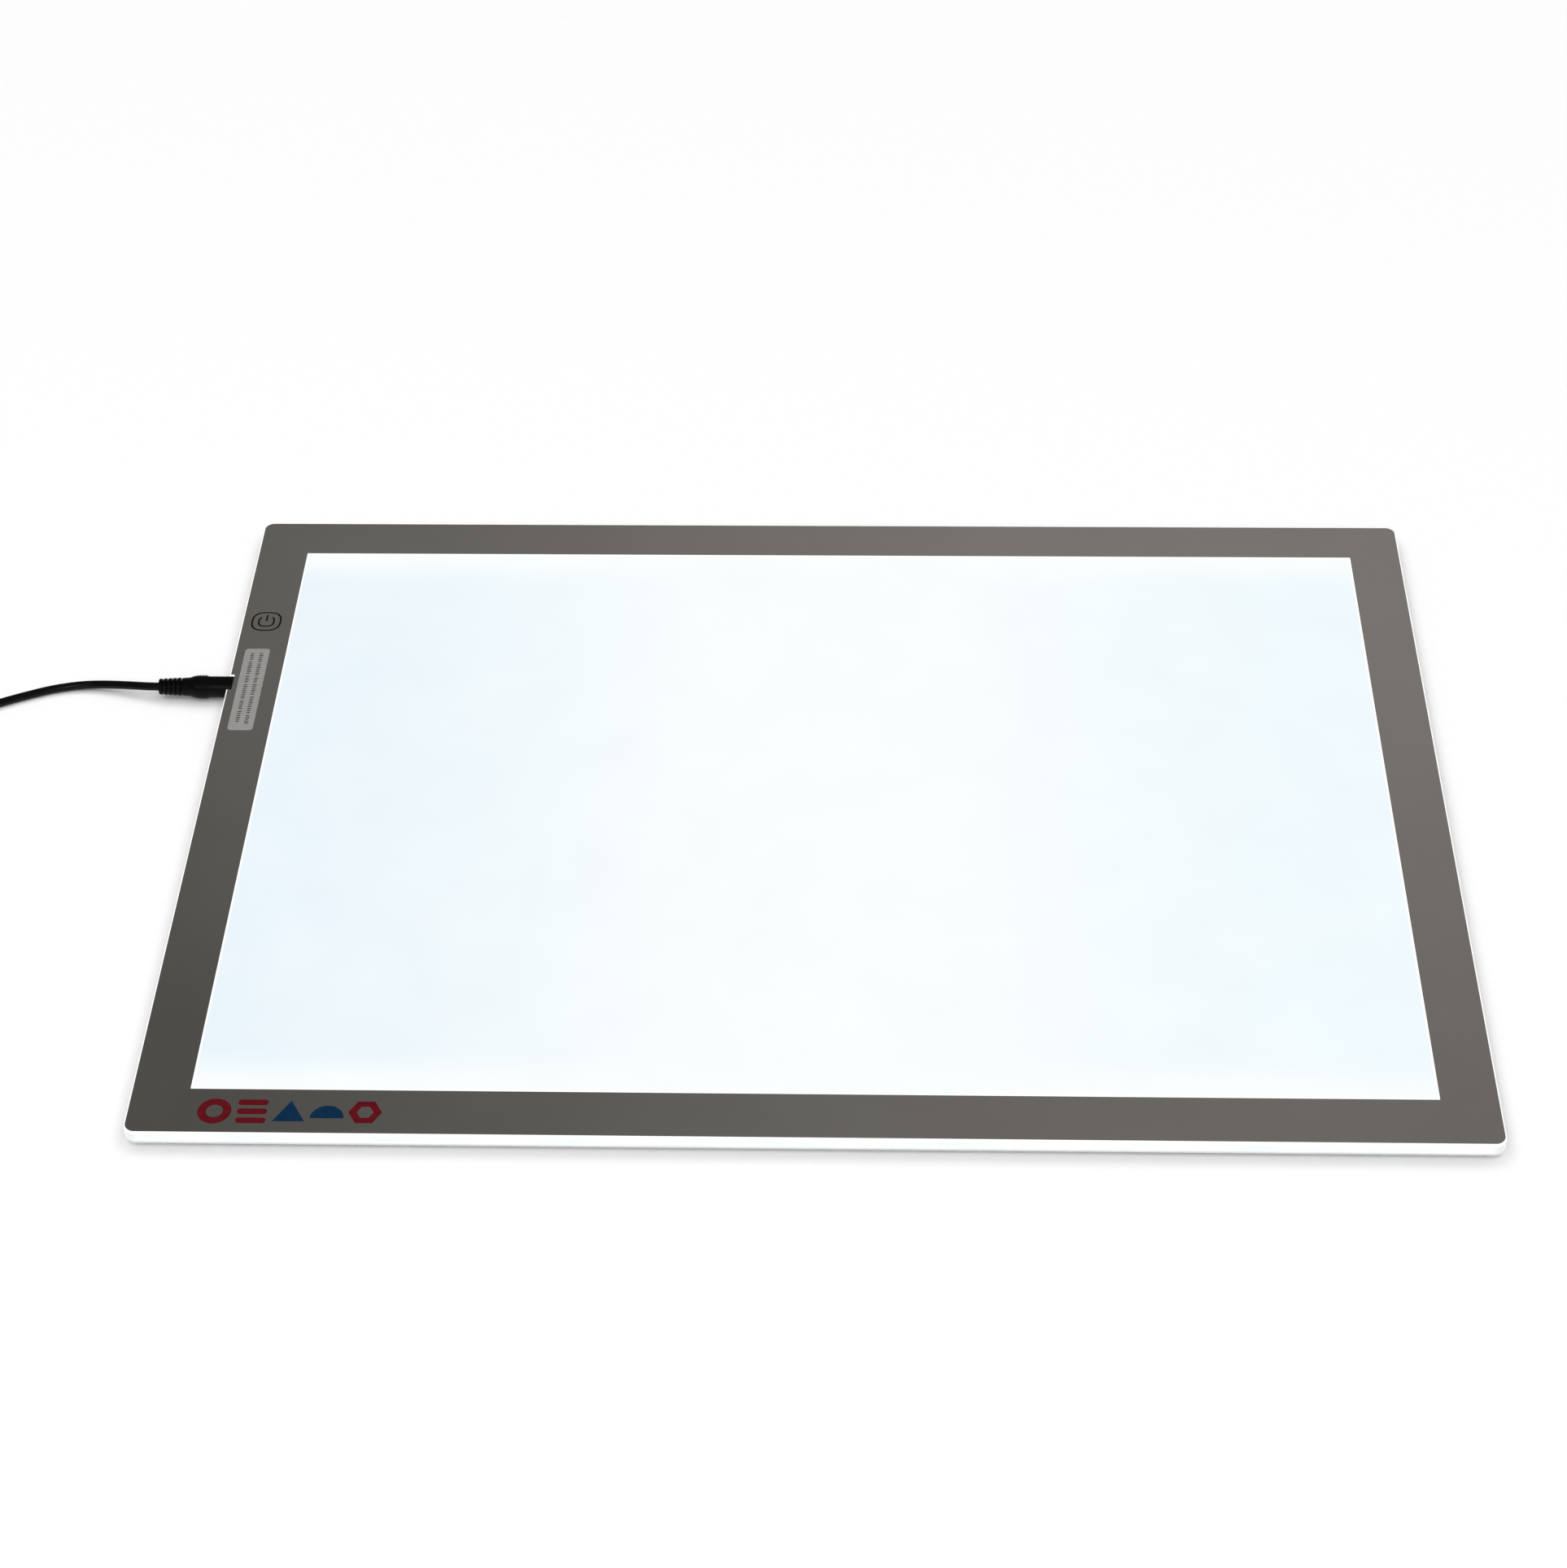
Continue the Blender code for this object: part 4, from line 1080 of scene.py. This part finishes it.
def inset_outline(low, high, radius):
    """A function that gives the rounded outline of a box, moved in by an inset."""

    def outline(inset):
        near = (low[0] + inset, low[1] + inset)
        far = (high[0] - inset, high[1] - inset)
        return rounded_box(near, far, max(radius - inset, 0.0002), 10)

    return outline


def adaptor_case(look):
    """Both halves of the adaptor's case, with a groove at the parting line and another round the face."""
    corner = 0.005
    edge_round = 0.0018
    groove = 0.0003
    line = 0.0034
    low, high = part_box("adaptor_case_back")
    profile = box_profile(low.z, high.z, edge_round, groove)
    back = stacked("adaptor_back", inset_outline(low, high, corner), profile, look)
    low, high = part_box("adaptor_case_front")
    profile = box_profile(low.z, high.z, groove, edge_round)
    profile += [
        (high.z, line),
        (high.z - groove, line + 0.0002),
        (high.z - groove, line + 0.0006),
        (high.z, line + 0.0008),
        (high.z, line + 0.0030),
    ]
    front = stacked("adaptor_front", inset_outline(low, high, corner), profile, look)
    settle(back, "power_lead", "adaptor_plastic", "adaptor_case_back")
    settle(front, "power_lead", "adaptor_plastic", "adaptor_case_front")
    return [back, front]


def adaptor_pins(brass, sleeve):
    """Two part-sleeved pins and the plastic earth pin, each with a chamfered tip."""
    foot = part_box("adaptor_case_front")[1].z - 0.0005
    sleeve_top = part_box("adaptor_case_front")[1].z + 0.0095
    sleeve_depth = 0.00018
    corner = 0.0006
    chamfer = 0.0012
    pieces = []
    for name in ("live", "neutral", "earth"):
        low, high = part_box("adaptor_pin_" + name)
        outline = inset_outline(low, high, corner)
        look = sleeve
        slot = "adaptor_plastic"
        profile = [(foot, 0.0), (high.z - chamfer, 0.0)]
        if name != "earth":
            sides = [(foot, 0.0), (sleeve_top - 0.0002, 0.0), (sleeve_top, 0.0001)]
            sides.append((sleeve_top, sleeve_depth + 0.0001))
            sheath = stacked("pin_sleeve_" + name, outline, sides, sleeve)
            pieces.append(settle(sheath, "power_lead", slot))
            look = brass
            slot = "pin_brass"
            profile = [(sleeve_top - 0.001, sleeve_depth), (high.z - chamfer, sleeve_depth)]
        profile += [(high.z - chamfer * 0.5, chamfer * 0.22), (high.z - chamfer * 0.15, chamfer * 0.5)]
        profile.append((high.z, chamfer * 0.85))
        pin = stacked("pin_" + name, outline, profile, look)
        pieces.append(settle(pin, "power_lead", slot, "adaptor_pin_" + name))
    return pieces


def strain_relief(look):
    """The adaptor's strain relief: a collar and a tapering sleeve with grooves round it."""
    low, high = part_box("adaptor_strain_relief")
    case_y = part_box("adaptor_case_back")[1].y
    place = ((low.x + high.x) / 2, case_y, (low.z + high.z) / 2)
    length = high.y - case_y
    cord_hole_depth = 0.002
    grooves = 6
    groove_width = 0.0008
    groove_radius = 0.0022
    first = 0.0028
    pitch = (length - 0.0045) / grooves
    profile = [(-0.0015, 0.0), (-0.0015, 0.0030), (0.0001, 0.0030), (0.0001, 0.0038), (0.0022, 0.0038)]
    for number in range(grooves):
        start = first + number * pitch
        end = start + groove_width
        wide = 0.0036 - 0.0011 * number / grooves
        profile += [(start, wide), (start, groove_radius), (end, groove_radius), (end, wide - 0.00006)]
    profile += [(length, 0.0024), (length, CORD_HOLE)]
    profile += [(length - cord_hole_depth, CORD_HOLE), (length - cord_hole_depth, 0.0)]
    sleeve = turned("adaptor_relief", softened(profile, 0.0002), place, (0.0, 1.0, 0.0), look, 64)
    return settle(sleeve, "power_lead", "plug_rubber", "adaptor_strain_relief")


# ---------------------------------------------------------------- scene


def dress(look, *nodes):
    """Gives CAD nodes that no piece here stands for a procedural material."""
    for node in nodes:
        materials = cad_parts[node].data.materials
        materials.clear()
        materials.append(look)


def build_panel():
    back_shell(moulded("white_plastic", (0.80, 0.81, 0.80), (0.35, 0.5), 0.0005, 0.00002, 0.02))
    cover(cover_look())
    border(border_look())
    edge_strips(edge_look())
    label(label_look(), ink_look("grey_ink", (0.050, 0.048, 0.046)))
    key_mark(ink_look("black_ink", (0.002, 0.002, 0.002)))
    crimson = ink_look("crimson_ink", (0.11, 0.002, 0.006))
    front_print(crimson, ink_look("blue_ink", (0.001, 0.022, 0.062)))
    feet(moulded("foot_rubber", (0.60, 0.60, 0.58), (0.7, 0.85), 0.0006, 0.00003, 0.04))


def build_power_lead():
    black = (0.0011, 0.0014, 0.0014)
    rubber = moulded("plug_rubber", black, (0.34, 0.48), 0.00035, 0.000012, Specular_IOR_Level=0.10)
    case = moulded("adaptor_plastic", (0.014, 0.014, 0.015), (0.34, 0.48), 0.0005, 0.00004)
    brass = metal_look("pin_brass", (0.80, 0.62, 0.33), 0.0004, "Z")
    band = woven_look("tie_plastic", (0.030, 0.030, 0.031))
    pieces = [plug_body(rubber), *grip_bars(rubber), *tie(band), *adaptor_case(case)]
    pieces += [*adaptor_pins(brass, case), strain_relief(rubber)]
    pieces += [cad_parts[node] for node in CARRIED_ON_LEAD]
    power_cord(cord_look())


def build_inside():
    """The CAD nodes that stay as they are, in the panel and on the lead."""
    dress(lit_film_look("reflector_film", (0.2, 0.3), 0.2), "reflector_sheet")
    dress(guide_look(), "light_guide_plate")
    dress(lit_film_look("diffuser_film", (0.5, 0.7), 0.6), "diffuser_sheet")
    tape = moulded("adhesive_tape", (0.80, 0.79, 0.74), (0.5, 0.7), 0.0006, variation=0.04)
    dress(tape, "lower_tape", "upper_tape", "board_tape")
    dress(lamp_look(), "lamp_strip_front", "lamp_strip_rear")
    dress(board_look("circuit_board", (0.02, 0.15, 0.06), (0.10, 0.30, 0.10)), "control_board")
    chip = moulded("chip_plastic", (0.020, 0.020, 0.020), (0.5, 0.65), 0.0002)
    dress(chip, "touch_controller_chip", "dimmer_transistor", "voltage_regulator")
    ferrite = moulded("inductor_ferrite", (0.06, 0.06, 0.065), (0.3, 0.5), 0.0003, 0.00002)
    dress(ferrite, "storage_inductor")
    dress(foam_look("conductive_foam", (0.10, 0.10, 0.11), 0.0006), "touch_electrode")
    red = moulded("red_wire", (0.45, 0.02, 0.02), (0.25, 0.4), 0.0005)
    dress(red, "front_feed_wire_red", "rear_feed_wire_red")
    black = moulded("black_wire", (0.015, 0.015, 0.015), (0.25, 0.4), 0.0005)
    dress(black, "front_feed_wire_black", "rear_feed_wire_black")
    dress(moulded("socket_plastic", (0.015, 0.015, 0.015), (0.4, 0.55), 0.0003), "dc_socket_housing")
    metal = metal_look("contact_metal", (0.72, 0.70, 0.66), 0.0003, "X")
    dress(metal, "dc_socket_centre_pin", "dc_socket_contact_leaf")
    dress(metal, "dc_plug_barrel", "dc_plug_inner_contact")
    dress(moulded("insulator_plastic", (0.60, 0.58, 0.52), (0.4, 0.55), 0.0003), "dc_plug_insulator")
    dress(board_look("adaptor_circuit_board", (0.30, 0.19, 0.07), (0.45, 0.30, 0.10)), "adaptor_board")
    core = moulded("transformer_core", (0.65, 0.50, 0.10), (0.3, 0.5), 0.0008, 0.00003)
    dress(core, "adaptor_transformer")
    dress(moulded("capacitor_sleeve", (0.05, 0.08, 0.20), (0.2, 0.35), 0.0008), "adaptor_capacitor")


def build():
    camera()
    softbox()
    studio()
    build_floor()
    build_panel()
    build_power_lead()
    build_inside()


build()
